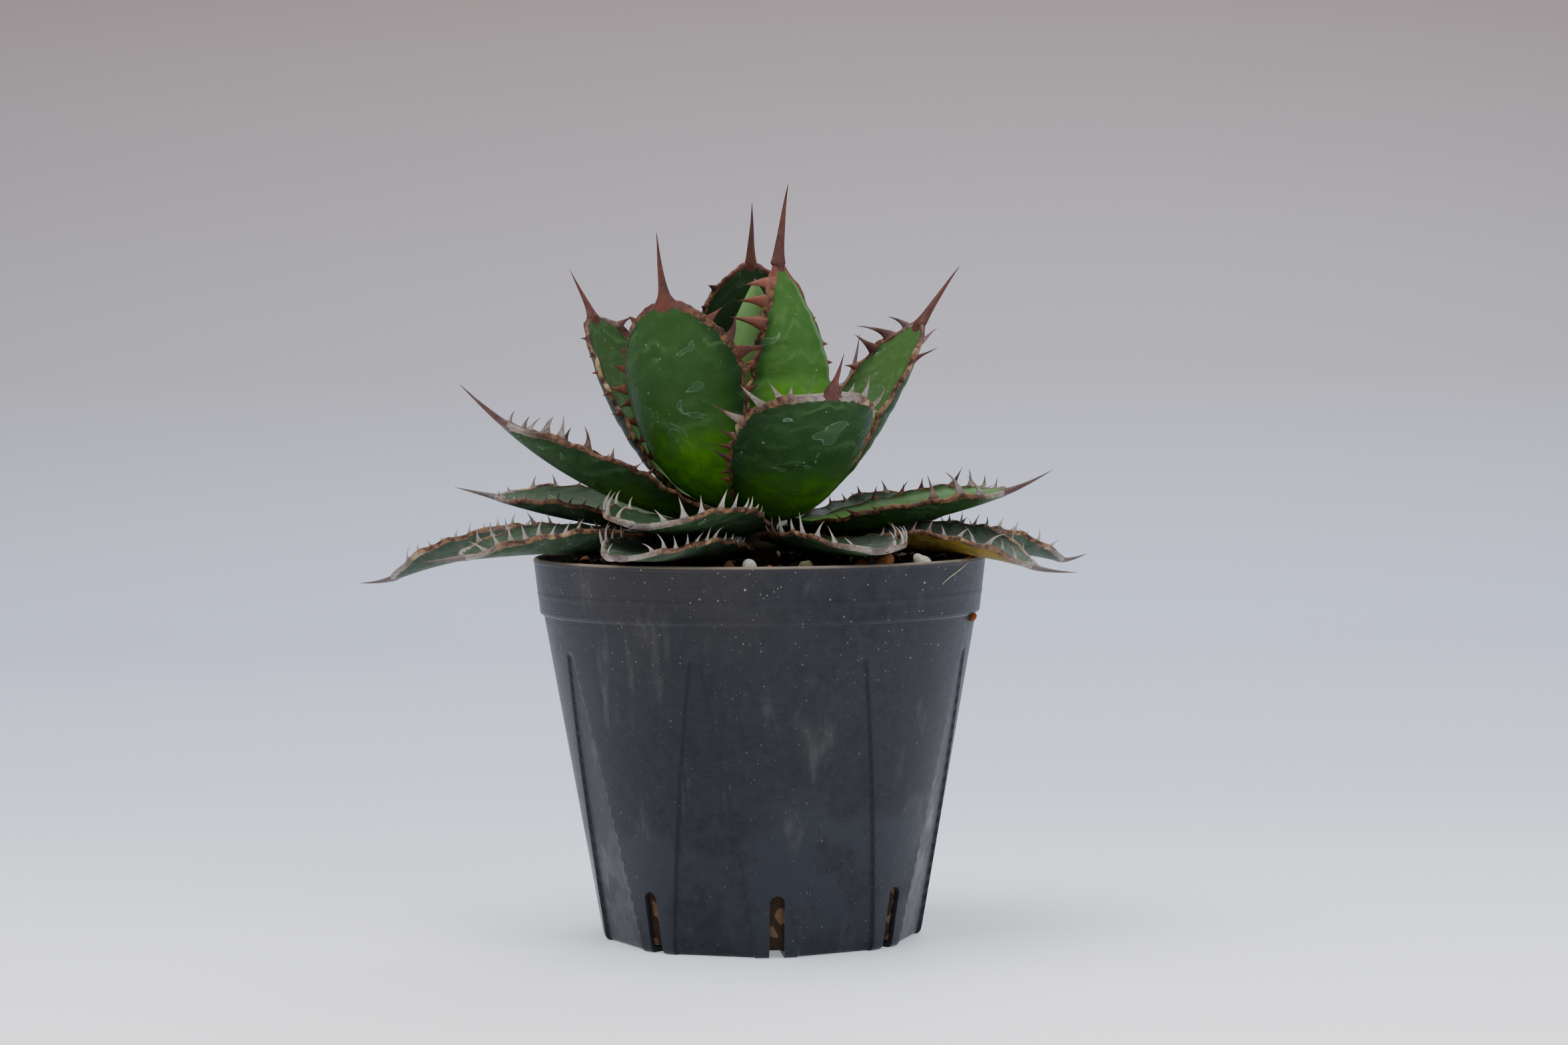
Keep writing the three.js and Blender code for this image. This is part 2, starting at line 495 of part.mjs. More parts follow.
/** The green blade: two alike faces of a cupped sheet, thick at the midrib, thin at the edge. */
function makeBlade(leaf) {
  const points = [];
  const across = BLADE.columns + 1;
  const at = (face, row, column) => (face * (BLADE.rows + 1) + row) * across + column;
  for (const face of [0, 1]) {
    for (let row = 0; row <= BLADE.rows; row++) {
      const [x, y] = outlinePoint(leaf, row / BLADE.rows, -BLADE.inset);
      const mid = midThickness(leaf, x / leaf.length);
      for (let column = 0; column < across; column++) {
        const v = (2 * column) / BLADE.columns - 1;
        const thickness = BLADE.edge + Math.max(mid - BLADE.edge, 0) * (1 - v * v) ** 0.9;
        points.push(leafPoint(leaf, x, v * y, -face * thickness));
      }
    }
  }
  const triangles = [];
  for (let row = 0; row < BLADE.rows; row++) {
    for (let column = 0; column < BLADE.columns; column++) {
      const quad = (face) => [at(face, row, column), at(face, row, column + 1),
        at(face, row + 1, column + 1), at(face, row + 1, column)];
      const [a, b, c, d] = quad(0);
      triangles.push([a, b, c], [a, c, d]);
      const [e, f, g, h] = quad(1);
      triangles.push([e, g, f], [e, h, g]);
    }
    const last = BLADE.columns;
    triangles.push([at(0, row, 0), at(1, row + 1, 0), at(1, row, 0)]);
    triangles.push([at(0, row, 0), at(0, row + 1, 0), at(1, row + 1, 0)]);
    triangles.push([at(0, row, last), at(1, row, last), at(1, row + 1, last)]);
    triangles.push([at(0, row, last), at(1, row + 1, last), at(0, row + 1, last)]);
  }
  for (let column = 0; column < BLADE.columns; column++) {
    triangles.push([at(0, 0, column), at(1, 0, column), at(1, 0, column + 1)]);
    triangles.push([at(0, 0, column), at(1, 0, column + 1), at(0, 0, column + 1)]);
  }
  return closedGeometry(points, triangles);
}

/** Where q lies at each distance along the edge, so that teeth can be spaced in millimetres. */
function edgeRuler(leaf) {
  const steps = 100;
  const marks = [0];
  for (let k = 1; k <= steps; k++) {
    const [x0, y0] = outlinePoint(leaf, (k - 1) / steps, 0);
    const [x1, y1] = outlinePoint(leaf, k / steps, 0);
    marks.push(marks[k - 1] + Math.hypot(x1 - x0, y1 - y0));
  }
  const total = marks[steps];
  const qAt = (distance) => {
    const k = clamp(marks.findIndex((m) => m >= distance), 1, steps);
    return (k - 1 + (distance - marks[k - 1]) / (marks[k] - marks[k - 1])) / steps;
  };
  const distanceAt = (q) => marks[Math.round(q * steps)];
  return { total, qAt, distanceAt };
}

/**
 * The teeth of one edge from the base up: [distance from the base, length]. A leaf the photo shows
 * well lists its own, as [distance from the tip, length]. The others' teeth are small below, long
 * above and uneven.
 */
function edgeTeeth(leaf, side, total) {
  const listed = side < 0 ? leaf.left : leaf.right;
  if (listed) return listed.map(([fromTip, length]) => [total - fromTip, length]).reverse();
  const [count, longest] = leaf.teeth;
  const teeth = [];
  for (let k = 0; k < count; k++) {
    const jitter = fraction(GOLDEN * (k + 1) + 0.37 * leaf.index + (side > 0 ? 0.5 : 0));
    const t = (k + 0.5 + 0.5 * (jitter - 0.5)) / count;
    const size = mix(HORN.baseTooth, 1, Math.sin(Math.min(t * 1.15, 1) * (Math.PI / 2)) ** 1.4);
    const place = mix(HORN.start + 0.05, 0.9, t) * total;
    teeth.push([place, longest * size * mix(0.7, 1, fraction(jitter * 3.7))]);
  }
  return teeth;
}

/** Columns of one edge's horn from base to tip: q, reach outward, reach upward, lean, bulk. */
function edgeColumns(leaf, side) {
  const { total, qAt, distanceAt } = edgeRuler(leaf);
  const stand = leaf.teeth[2] * DEG;
  let edge = HORN.start * total;
  const columns = [{ q: qAt(edge) }];
  const plainTo = (distance) => {
    // plain columns follow the outline where teeth are far apart
    const extra = Math.floor((distance - edge) / HORN.longestRun);
    for (let k = 1; k <= extra; k++) {
      columns.push({ q: qAt(mix(edge, distance, k / (extra + 1))) });
    }
  };
  for (const [wanted, length] of edgeTeeth(leaf, side, total)) {
    const foot = HORN.toothFoot * mix(0.7, 1.1, length / 5);
    const place = Math.min(wanted, distanceAt(HORN.spineStart) - foot - HORN.toothGap);
    const start = Math.max(place - foot, edge + HORN.toothGap);
    plainTo(start);
    columns.push({ q: qAt(start) });
    columns.push({ q: qAt((start + place + foot) / 2), out: length * Math.cos(stand),
      up: length * Math.sin(stand), lean: 0.12 * length });
    edge = place + foot;
    columns.push({ q: qAt(edge) });
  }
  plainTo(distanceAt(HORN.spineStart));
  columns.push({ q: HORN.spineStart, out: 0.9, bulk: 0.4 }, { q: 0.95, out: 2.2, bulk: 1 });
  return columns.map((column) => ({ out: 0, up: 0, lean: 0, bulk: 0, side, ...column }));
}

/** The horny border: one strip round the edge, drawn out into the teeth and the end spine. */
function makeHorn(leaf) {
  const tip = { q: 1, out: leaf.spine, up: leaf.hook, lean: 0, bulk: 1.1, side: 1 };
  const columns = [...edgeColumns(leaf, -1), tip, ...edgeColumns(leaf, 1).reverse()];
  const points = [];
  for (const { q, out, up, lean, bulk, side } of columns) {
    const [x, y] = outlinePoint(leaf, q, HORN.gap - BLADE.inset);
    const top = HORN.foot + 0.6 * bulk;
    const bottom = -BLADE.edge - HORN.foot - 0.6 * bulk;
    const [far, wide] = outlinePoint(leaf, q, out);
    points.push(leafPoint(leaf, x, side * y, top));
    points.push(leafPoint(leaf, far + lean, side * wide, up - BLADE.edge / 2));
    points.push(leafPoint(leaf, x, side * y, bottom));
  }
  const triangles = [];
  for (let k = 0; k + 1 < columns.length; k++) {
    // the quads' diagonals end at a tooth's foot on both its sides, so its thin walls never cross
    const falling = columns[k].out > columns[k + 1].out;
    for (const [i, j] of [[0, 1], [1, 2], [2, 0]]) {
      const [a, b, c, d] = [3 * k + i, 3 * k + j, 3 * k + 3 + j, 3 * k + 3 + i];
      if (falling) triangles.push([a, b, d], [b, c, d]);
      else triangles.push([a, b, c], [a, c, d]);
    }
  }
  const end = 3 * columns.length - 3;
  triangles.push([0, 2, 1], [end, end + 1, end + 2]);
  return closedGeometry(points, triangles);
}

// ---- the assembly -------------------------------------------------------------------------

const YOUNG_GREEN = new THREE.Color(0x4f8a3c);
const OLD_GREEN = new THREE.Color(0x2f4a38);
const YOUNG_HORN = new THREE.Color(0x7a3f30);
const OLD_HORN = new THREE.Color(0xb3a79c);

const plant = new THREE.Group();
plant.add(piece('pot', makePot(), 0x2c2d33, 0.6));
plant.add(piece('soil', makeSoil(), 0x3a2c20, 0.95));
for (const chip of CHIPS) plant.add(piece(chip.name, makeChip(chip), chip.color, 0.95));
plant.add(piece('stem', makeStem(), 0x8a8f5a, 0.8));
plant.add(piece('bud', makeBud(), 0x7fae62, 0.5));
for (const leaf of LEAVES.map(withMidrib)) {
  const age = leaf.index / (LEAF_COUNT - 1);
  const name = `leaf_${String(leaf.index + 1).padStart(2, '0')}`;
  plant.add(piece(`${name}_blade`, makeBlade(leaf), YOUNG_GREEN.clone().lerp(OLD_GREEN, age), 0.5));
  plant.add(piece(`${name}_horn`, makeHorn(leaf), YOUNG_HORN.clone().lerp(OLD_HORN, age), 0.7));
}

export default plant;
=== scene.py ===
import bpy
import numpy as np
from mathutils import Euler, Matrix, Vector


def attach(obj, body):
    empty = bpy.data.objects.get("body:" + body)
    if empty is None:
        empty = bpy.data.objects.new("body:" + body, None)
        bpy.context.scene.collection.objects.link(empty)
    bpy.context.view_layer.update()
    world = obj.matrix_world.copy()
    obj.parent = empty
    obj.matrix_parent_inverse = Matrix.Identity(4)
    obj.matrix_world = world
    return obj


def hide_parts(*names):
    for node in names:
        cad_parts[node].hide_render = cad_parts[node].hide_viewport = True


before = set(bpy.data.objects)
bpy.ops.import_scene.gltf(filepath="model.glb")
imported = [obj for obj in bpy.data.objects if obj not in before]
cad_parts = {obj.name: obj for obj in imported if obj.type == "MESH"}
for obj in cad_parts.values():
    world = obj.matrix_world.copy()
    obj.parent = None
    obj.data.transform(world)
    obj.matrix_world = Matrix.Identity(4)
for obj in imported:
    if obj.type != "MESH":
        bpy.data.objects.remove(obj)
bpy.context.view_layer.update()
print("frame loaded:", len(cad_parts), "nodes")

mm = 0.001                        # shapes are worked out in millimetres
deg = np.pi / 180
golden = 0.618034


# ---- meshes from grids of points

def gridFaces(rows, columns, closed=False):
    # quads between the rows of a grid, whose points are numbered row by row
    span = columns if closed else columns - 1
    row, column = np.meshgrid(np.arange(rows - 1), np.arange(span), indexing="ij")
    a = row * columns + column
    b = row * columns + (column + 1) % columns
    return np.stack([a, b, b + columns, a + columns], -1).reshape(-1, 4)


def tubeFaces(rows, columns):
    # rings joined to a tube, with a flat cap over each end
    last = (rows - 1) * columns
    caps = [list(range(columns))[::-1], list(range(last, last + columns))]
    return gridFaces(rows, columns, closed=True).tolist() + caps


def ballFaces(rows, columns):
    # rings joined to a tube whose ends run in to one point each, numbered after the rings
    count = rows * columns
    faces = gridFaces(rows, columns, closed=True).tolist()
    for k in range(columns):
        ahead = (k + 1) % columns
        faces += [[count, ahead, k], [count + 1, count - columns + k, count - columns + ahead]]
    return faces


def pointOut(points, faces):
    # the sum of each triangle's corner product is six times the volume, negative if inside out
    fans = np.array([(f[0], f[k], f[k + 1]) for f in faces for k in range(1, len(f) - 1)])
    first, second, third = points[fans].transpose(1, 0, 2)
    return [f[::-1] for f in faces] if (first * np.cross(second, third)).sum() < 0 else faces


def join(parts):
    # several (points, faces, marks) as one
    points = np.concatenate([p for p, _, _ in parts])
    starts = np.cumsum([0] + [len(p) for p, _, _ in parts[:-1]])
    faces = [[c + int(s) for c in f] for (_, fs, _), s in zip(parts, starts) for f in fs]
    marks = {key: np.concatenate([np.broadcast_to(m[key], len(p)) for p, _, m in parts])
             for key in parts[0][2]}
    return points, faces, marks


def meshOf(name, points, faces):
    mesh = bpy.data.meshes.new(name)
    mesh.from_pydata((points * mm).tolist(), [], faces)
    return mesh


def addObject(name, data):
    added = bpy.data.objects.new(name, data)
    bpy.context.scene.collection.objects.link(added)
    return added


def makePiece(name, points, faces, material, nodes, uv=None, marks=None):
    # points (n, 3) in millimetres; marks holds a number for each point, or for all, as an attribute
    mesh = meshOf(name, points, pointOut(points, faces))
    mesh.update()
    for mark, values in (marks or {}).items():
        layer = mesh.attributes.new(mark, "FLOAT", "POINT")
        layer.data.foreach_set("value", np.broadcast_to(values, len(points)).astype(np.float32))
    if uv is not None:
        corners = np.empty(len(mesh.loops), np.int32)
        mesh.loops.foreach_get("vertex_index", corners)
        layer = mesh.uv_layers.new(name="skin")
        layer.data.foreach_set("uv", uv[corners].astype(np.float32).ravel())
    mesh.shade_smooth()
    mesh.materials.append(material)
    piece = addObject(name, mesh)
    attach(piece, "root")
    if nodes:
        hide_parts(*nodes)
    return piece


def polar(radius, azimuth, z):
    radius, azimuth, z = np.broadcast_arrays(radius, azimuth, z)
    return np.stack([radius * np.sin(azimuth * deg), -radius * np.cos(azimuth * deg), z], -1)


def smoothStep(x):
    x = np.clip(x, 0, 1)
    return x * x * (3 - 2 * x)


# ---- shader nodes

def calc(operation, a, b=0.0, c=0.0, clamp=False):
    return put("ShaderNodeMath", {0: a, 1: b, 2: c}, operation=operation, use_clamp=clamp)


def asNode(operation):
    # an operator of Field
    return lambda field, other=0.0: calc(operation, field, other)


class Field:
    # what a node puts out: arithmetic on it adds Math nodes, and [name] is another output of its node
    def __init__(self, socket):
        self.socket = socket

    def __getitem__(self, name):
        return Field(self.socket.node.outputs[name])

    def __rsub__(self, other):
        return calc("SUBTRACT", other, self)

    __add__ = asNode("ADD")
    __sub__ = asNode("SUBTRACT")
    __mul__ = asNode("MULTIPLY")
    __truediv__ = asNode("DIVIDE")
    __pow__ = asNode("POWER")
    __lt__ = asNode("LESS_THAN")
    __gt__ = asNode("GREATER_THAN")
    __abs__ = asNode("ABSOLUTE")


def fill(node, inputs):
    # a Field is linked to its socket, anything else is set, and a colour gets its alpha
    for key, value in inputs.items():
        socket = node.inputs[key]
        if isinstance(value, Field):
            node.id_data.links.new(value.socket, socket)
        else:
            socket.default_value = (*value, 1) if socket.type == "RGBA" else value


def put(kind, inputs, tree=None, **settings):
    # adds a node to the tree of the Fields it is given, and returns its first output
    tree = tree or next(f.socket.id_data for f in inputs.values() if isinstance(f, Field))
    node = tree.nodes.new(kind)
    for key, value in settings.items():
        setattr(node, key, value)
    fill(node, inputs)
    return Field(node.outputs[0]) if node.outputs else None


def blend(factor, a, b, how="MIX"):
    return put("ShaderNodeMix", {"Factor": factor, 6: a, 7: b}, data_type="RGBA", blend_type=how)[2]


def spread(value, low, high, toLow=0.0, toHigh=1.0, kind="LINEAR"):
    inputs = {"Value": value, "From Min": low, "From Max": high, "To Min": toLow, "To Max": toHigh}
    return put("ShaderNodeMapRange", inputs, interpolation_type=kind)


def soft(value, low, high, toLow=0.0, toHigh=1.0):
    # a spread that eases in and out
    return spread(value, low, high, toLow, toHigh, "SMOOTHSTEP")


def noise(vector, scale, detail=3.0, roughness=0.5, distortion=0.0):
    inputs = {"Vector": vector, "Scale": scale, "Detail": detail, "Roughness": roughness,
              "Distortion": distortion}
    return put("ShaderNodeTexNoise", inputs)


def shifted(vector, seed, step):
    # moves a pattern by a whole vector for each seed, so that no two leaves share their marks
    offset = put("ShaderNodeCombineXYZ", {0: seed, 1: seed * step})
    return put("ShaderNodeVectorMath", {0: vector, 1: offset}, operation="ADD")


def stretched(vector, scaleZ):
    # below 1 it draws a pattern out upward, above 1 it packs it
    return put("ShaderNodeMapping", {0: vector, 3: (1, 1, scaleZ)})


def attributes(material, *names):
    tree = material.node_tree
    return [put("ShaderNodeAttribute", {}, tree, attribute_name=name)["Fac"] for name in names]


def objectPlace(material):
    return put("ShaderNodeTexCoord", {}, material.node_tree)["Object"]


def skinPlace(material):
    return put("ShaderNodeUVMap", {}, material.node_tree, uv_map="skin")


def newMaterial(name, roughness=0.5, specular=0.5):
    material = bpy.data.materials.new(name)
    material.use_nodes = True
    return dress(material, {"Roughness": roughness, "Specular IOR Level": specular})


def dress(material, inputs, relief=None, distance=0.001, strength=1.0):
    # fills the shader's inputs, with a bump where there is a relief
    if relief:
        bump = {"Height": relief, "Distance": distance, "Strength": strength}
        inputs["Normal"] = put("ShaderNodeBump", bump)
    fill(material.node_tree.nodes["Principled BSDF"], inputs)
    return material


def makeGroup(name, numbers, outputs, build):
    # a node group that takes a vector and the named numbers; build returns what it puts out
    group = bpy.data.node_groups.new(name, "ShaderNodeTree")
    group.interface.new_socket(name="Vector", in_out="INPUT", socket_type="NodeSocketVector")
    for label, value in numbers.items():
        socket = group.interface.new_socket(name=label, in_out="INPUT", socket_type="NodeSocketFloat")
        socket.default_value = value
    for label in outputs:
        group.interface.new_socket(name=label, in_out="OUTPUT", socket_type="NodeSocketFloat")
    made = build(put("NodeGroupInput", {}, group))
    put("NodeGroupOutput", dict(enumerate(made)))
    return group


def speckMask(given):
    # mineral specks: small round cells of a Voronoi pattern, only where a cell's own number is low
    cells = put("ShaderNodeTexVoronoi", {"Vector": given["Vector"], "Scale": given["Scale"]})
    pick = put("ShaderNodeSeparateColor", {0: cells["Color"]})
    size = given["Size"] * (pick[1] + 0.3)
    near = calc("SUBTRACT", 1.0, cells["Distance"] / size, clamp=True)
    return [calc("MULTIPLY", near, 2.5, clamp=True) * (pick[0] < given["Share"])]


def stainMasks(given):
    # dried water: a thin pale line where a slow noise crosses a level, and a faint film inside it
    slow = noise(given["Vector"], given["Scale"], 2.0, 0.45, 0.6)
    line = calc("SUBTRACT", 1.0, abs(slow - given["Level"]) / given["Width"], clamp=True)
    return [line, slow > given["Level"]]


specks = makeGroup("specks", {"Scale": 400.0, "Share": 0.2, "Size": 0.25}, ["Mask"], speckMask)
waterStain = makeGroup("waterStain", {"Scale": 100.0, "Level": 0.6, "Width": 0.006}, ["Line", "Film"],
                       stainMasks)


def dusted(base, spot, colour, kinds, shown=1.0):
    # lays specks of a colour over the base, one kind after the other: (scale, share, size, strength)
    for scale, share, size, strength in kinds:
        inputs = {"Vector": spot, "Scale": scale, "Share": share, "Size": size}
        base = blend(put("ShaderNodeGroup", inputs, node_tree=specks) * strength * shown, base, colour)
    return base


# ---- leaves: the same curve, width and cup as the part's own solids

crown = {"topRadius": 4.5, "radiusStep": 0.37, "topHeight": 102.4, "heightStep": 0.68}
blade = {"edge": 0.8, "rows": 76, "columns": 26, "scallop": 0.12, "wave": 0.45}
horn = {"start": 0.13, "shell": 0.13, "band": 0.5, "lap": 0.66, "nubs": 9, "around": 10}
spine = {"covered": 4.5, "ease": 2.6, "stout": 0.08, "leastStout": 0.85, "flareLength": 1.6}
usualLeaf = dict(power=1.3, turn=0.13, widest=0.55, taper=1.7, cup=1.2, tipCup=0.8, roll=0, hook=0,
                 base=0.4, thick=4, border=1, broad=0.2, point=0.5, plump=0.25, sere=0, sway=0, tipSway=0,
                 teeth=(9, 4), stand=60)

# azimuth: where it points; lift, rise, droop: its angle above level at the base, after it and at the
# tip; left, right: teeth as (distance from the tip, length, lean toward the base); teeth: where they
# follow a rule, their number a side and the longest; turnLeft, turnRight: the teeth's angle above the
# blade near the tip and near the base, or stand for both; grey: how far its horn has weathered;
# spineGrey: the same for the spine, where it differs; bright: how fresh its green is, together with
# painted light and shade, lighter or darker by how the leaf is lit; upper: the same for the upper face;
# border: how broad its horn is near the tip; broad: how broad its teeth's feet are; sway, tipSway: its
# bend to the side; point: how drawn out its tip is; plump: the thickness that its width allows; sere:
# how yellowed it is below
leafTable = [
    dict(azimuth=38, lift=45, turn=0.15, rise=89.5, droop=9, power=1.2, length=55, width=25, widest=0.42,
         taper=1.1, point=0.78, tipCup=1, roll=-6, sway=4.2, spine=18, hook=-3, tipSway=3.4, broad=1,
         grey=0.05, spineGrey=0, bright=0.93, turnLeft=(8, -20), turnRight=(-40, -70),
         left=((6, 5.4, 2.6), (10.5, 7, 1.8), (16, 7.8, 0.4), (19.5, 1.6), (22.5, 1.4), (26, 3),
               (30, 1.5), (34, 1.2)),
         right=((8.5, 0.9), (14.5, 1.1), (21, 1.8), (26, 1.8), (31, 1.5), (36, 1.2))),
    dict(azimuth=190, lift=45, rise=81.5, droop=20, power=1.2, length=56.5, width=31, widest=0.6,
         taper=2.1, point=0.85, cup=1, tipCup=0.9, spine=14, hook=-1, broad=0.8, grey=0.1, bright=0.25,
         teeth=(7, 4.6), turnLeft=(20, 10), turnRight=(20, 10)),
    dict(azimuth=-42, lift=-5, rise=65, droop=10, length=55, width=34, base=0.36, widest=0.66, taper=1.5,
         point=0.56, cup=0.9, roll=10, sway=-4, spine=16, hook=1.5, border=1.5, broad=1, grey=0.2,
         spineGrey=0.05, bright=0.64, turnLeft=(-62, -72), turnRight=(10, -6),
         left=((10, 2.8, -1), (15.5, 3.2, -1.3), (20.5, 2.6, -0.8), (25, 3.6, -1.4), (30, 4.6, -1.3),
               (34, 3.4, 0.8), (38.5, 4, -1.2), (43, 3, 0.9), (47.5, 2.2, -0.8)),
         right=((12, 4.2, 0.4), (19, 5.6, -2.6), (23, 7, 2.3), (28, 3, -1.2), (33, 3.5, 0.8), (38, 3),
                (43, 2.5), (48, 2))),
    dict(azimuth=103, lift=0, rise=60, droop=-2, length=54.5, width=24, taper=1.6, cup=0.6, tipCup=0.6,
         roll=16, spine=17, hook=-1.5, broad=0.7, grey=0.35, spineGrey=0.15, bright=0.55, upper=0.85,
         turnLeft=(-40, -60), turnRight=(44, 32),
         left=((7.5, 3.4, -3.2), (13.5, 5.2, -3.5), (20, 1.6), (25, 1.2), (30, 1.4), (36, 1.2), (42, 1)),
         right=((4.5, 4.6, 2.9), (9, 7, 4.6), (14, 6, 0.5), (20, 3, 0.8), (26, 2.4), (32, 2), (39, 1.6))),
    dict(azimuth=-111, lift=-5, turn=0.15, rise=57, droop=8, length=59, width=26, base=0.3, taper=1.6,
         cup=0.75, tipCup=0.7, roll=-16, spine=13, hook=-1, broad=0.7, grey=0.25, spineGrey=0.1,
         bright=0.5, upper=0.6, turnLeft=(35, 18), turnRight=(-50, -75),
         left=((7, 4), (12, 4.6), (18, 4), (24, 3.4), (30, 3), (36, 2.4)),
         right=((9, 2), (14, 1.6), (19, 2.2), (25, 2.2), (31, 2.4), (37, 2), (43, 1.6))),
    dict(azimuth=19, lift=-2.5, turn=0.15, rise=36, droop=6, length=51.5, width=33, widest=0.62,
         taper=1.8, point=0.57, cup=0.9, tipCup=0.7, thick=4.4, spine=12, hook=0.5, border=1.7,
         broad=0.65, grey=0.62, spineGrey=0.05, bright=0.36, turnLeft=(44, -18), turnRight=(40, -60),
         left=((5, 1.6, -0.6), (9, 3.2, -0.9), (11.5, 4.4, 1.2), (16.5, 7, 2.3), (24, 8.2, 2.4),
               (30, 4, -0.3), (34.5, 4.4, 0.6), (38.5, 4.4, -0.4), (42, 3.6, 0.8), (45.5, 3, -0.6),
               (49, 2.2, 0.4)),
         right=((5, 3, 0.6), (10, 5.6, -1.3), (16, 4.8, -2), (21, 1.8, 0.5), (26, 1.6, -0.6), (31, 1.4),
                (37, 1.2), (43, 1))),
    dict(azimuth=150, lift=4, turn=0.15, rise=38.5, droop=12, length=48.5, width=27, spine=13, hook=3.5,
         broad=0.5, grey=0.6, bright=0.4, teeth=(7, 4.8), stand=35),
    dict(azimuth=-72, lift=6, turn=0.15, rise=18.5, droop=14, length=58, width=27, taper=1.5, cup=0.75,
         tipCup=0.7, roll=-4, spine=14, hook=1.7, broad=0.5, grey=0.6, spineGrey=0.45, bright=0.4,
         turnLeft=(68, 54), turnRight=(66, 54),
         left=((4.5, 3), (10, 3.6), (16, 4.6), (22, 4), (28, 3), (34, 2)),
         right=((8, 4.2, 1.6), (11.8, 4.6, 0.7), (15.3, 5.4, -0.8), (22, 5, -2), (28, 3, -0.5),
                (34, 2.2, 0.8), (38, 2.4), (42, 1.6), (46, 1.4))),
    dict(azimuth=80, lift=-6, rise=7.5, droop=4, length=50.5, width=25, taper=1.5, cup=0.4, tipCup=0.5,
         roll=6, thick=3.6, spine=12, hook=2.5, broad=0.4, grey=0.6, spineGrey=0.5, bright=0.6,
         upper=0.95, turnLeft=(78, 76), turnRight=(64, 60),
         left=((9, 4.6, 2.1), (14, 6, 2.2), (20.2, 5.8, 0.6), (26, 0.8, 0.3), (34, 1.8, 1),
               (39.5, 2.3, 1.5), (43, 1.6, 1)),
         right=((6.5, 2.6, -0.4), (9.8, 3.6, -0.2), (13.4, 4.2, 0.4), (18, 5, -1.8), (26, 3, -0.6),
                (31, 2.8, -1.6), (37.5, 3.2, -0.9))),
    dict(azimuth=-150, lift=4, rise=7, droop=6, length=55, width=25, cup=0.6, thick=3.4, spine=12,
         hook=1.5, grey=0.7, bright=0.3, teeth=(7, 4.6), stand=55),
    dict(azimuth=-25, lift=0, rise=4, droop=-2, length=52, width=32, widest=0.66, taper=2.2, cup=0.4,
         tipCup=0.6, thick=3, spine=7, hook=-1, border=1.3, broad=0.4, grey=0.95, bright=0.2,
         turnLeft=(80, 65), turnRight=(82, 55),
         left=((7, 3.6, -2), (12, 5.6, -2.6), (16.5, 4.8, -1.6), (21, 4.2, 1), (27, 3.6, 1.2), (33, 3)),
         right=((5, 3.4, -1.2), (9.5, 5, 0), (13.5, 4, 0.7), (19, 4.6, 2.2), (23.5, 3.6, 1.5),
                (28, 3, 1.7), (31.5, 2.8, 1), (35, 2.6, 1.2), (38.5, 2.4, 0.8), (42, 2, 1))),
    dict(azimuth=124, lift=0, rise=5, droop=4, length=50, width=24, cup=0.6, roll=2, thick=5, plump=0.5,
         spine=11, hook=1.5, grey=0.7, bright=0.2, teeth=(7, 4.4)),
    dict(azimuth=-98.5, lift=11, turn=0.2, rise=5, droop=6, length=54, width=26, taper=1.5, cup=0.4,
         roll=-8, thick=2.7, spine=10.5, grey=0.65, bright=0.3, turnLeft=(56, 47), turnRight=(82, 66),
         left=((5, 1.6), (11, 3.2), (16.5, 3), (22, 1.6), (27, 2), (33, 1.6)),
         right=((4, 1.8), (7, 2), (10, 2), (13, 2), (16, 2.2), (19, 2), (22, 2), (25, 2), (28.5, 2),
                (32, 1.8))),
    dict(azimuth=28, lift=-5, rise=-0.5, droop=-2, length=46, width=25, widest=0.66, taper=2.4, cup=0.3,
         tipCup=0.4, roll=-3.5, thick=3.2, plump=0.4, spine=8.5, hook=4, grey=0.9, bright=0.25,
         turnLeft=(84, 74), turnRight=(82, 66),
         left=((6, 1.8, 1.4), (10, 3.6, 1.7), (14.5, 4, -0.5), (19.5, 4.4, 2), (24, 3.8, 1.6),
               (29, 4.6, 3.2), (34.5, 4, 1.8), (40, 3, 1.6), (45, 2.6, 1.4)),
         right=((4.5, 4, -1.6), (8, 4.6, -2), (12, 4.4, -1.4), (16, 3.4, 1), (21, 3), (27, 2.4))),
    dict(azimuth=163, lift=-8, rise=6, droop=0, length=52, width=24, cup=0.6, thick=5, plump=0.5,
         spine=10, hook=1.5, grey=0.8, bright=0.2, teeth=(7, 4.2), stand=65),
    dict(azimuth=-65.5, lift=-4, rise=6.5, droop=-18, power=1.6, length=63.5, width=24, base=0.34,
         taper=1.5, cup=0.3, roll=-2, thick=3, spine=10, hook=1, grey=0.75, bright=0.25, teeth=(9, 4.2),
         turnLeft=(50, 48), turnRight=(78, 64),
         right=((6.8, 3.4, -1.8), (9.8, 3.2, -0.3), (13, 3.8, 0.3), (16.2, 4.2, 0), (19.2, 4, 1.2),
                (22.2, 3, 1), (25.2, 2.6, 1.4), (28.2, 2.6, 0.8), (31.5, 2), (35, 1.6), (39, 1.4))),
    dict(azimuth=72, lift=-4, rise=9, droop=-32, power=1.6, length=56, width=25, taper=1.5, cup=0.3,
         roll=4, thick=2.6, spine=10, hook=2.6, grey=0.7, bright=0.3, sere=0.9, turnLeft=(80, 67),
         turnRight=(47, 47),
         left=((7, 2.4, 1.4), (10.5, 2.6, 0.7), (14, 4, -1.8), (17.3, 3.2, 1.5), (20.5, 3, -0.8),
               (24, 2.8, 0.7), (27.3, 3.2, -0.3), (31, 2.4, -0.5), (35, 3, 1.1)),
         right=((9, 1.6), (13, 2), (16.5, 2.4), (20, 2.4), (23, 3), (26, 2.4), (29, 2.4))),
    dict(azimuth=-148, lift=-1, rise=5.5, droop=-14, power=1.6, length=56, width=23, cup=0.6, thick=3,
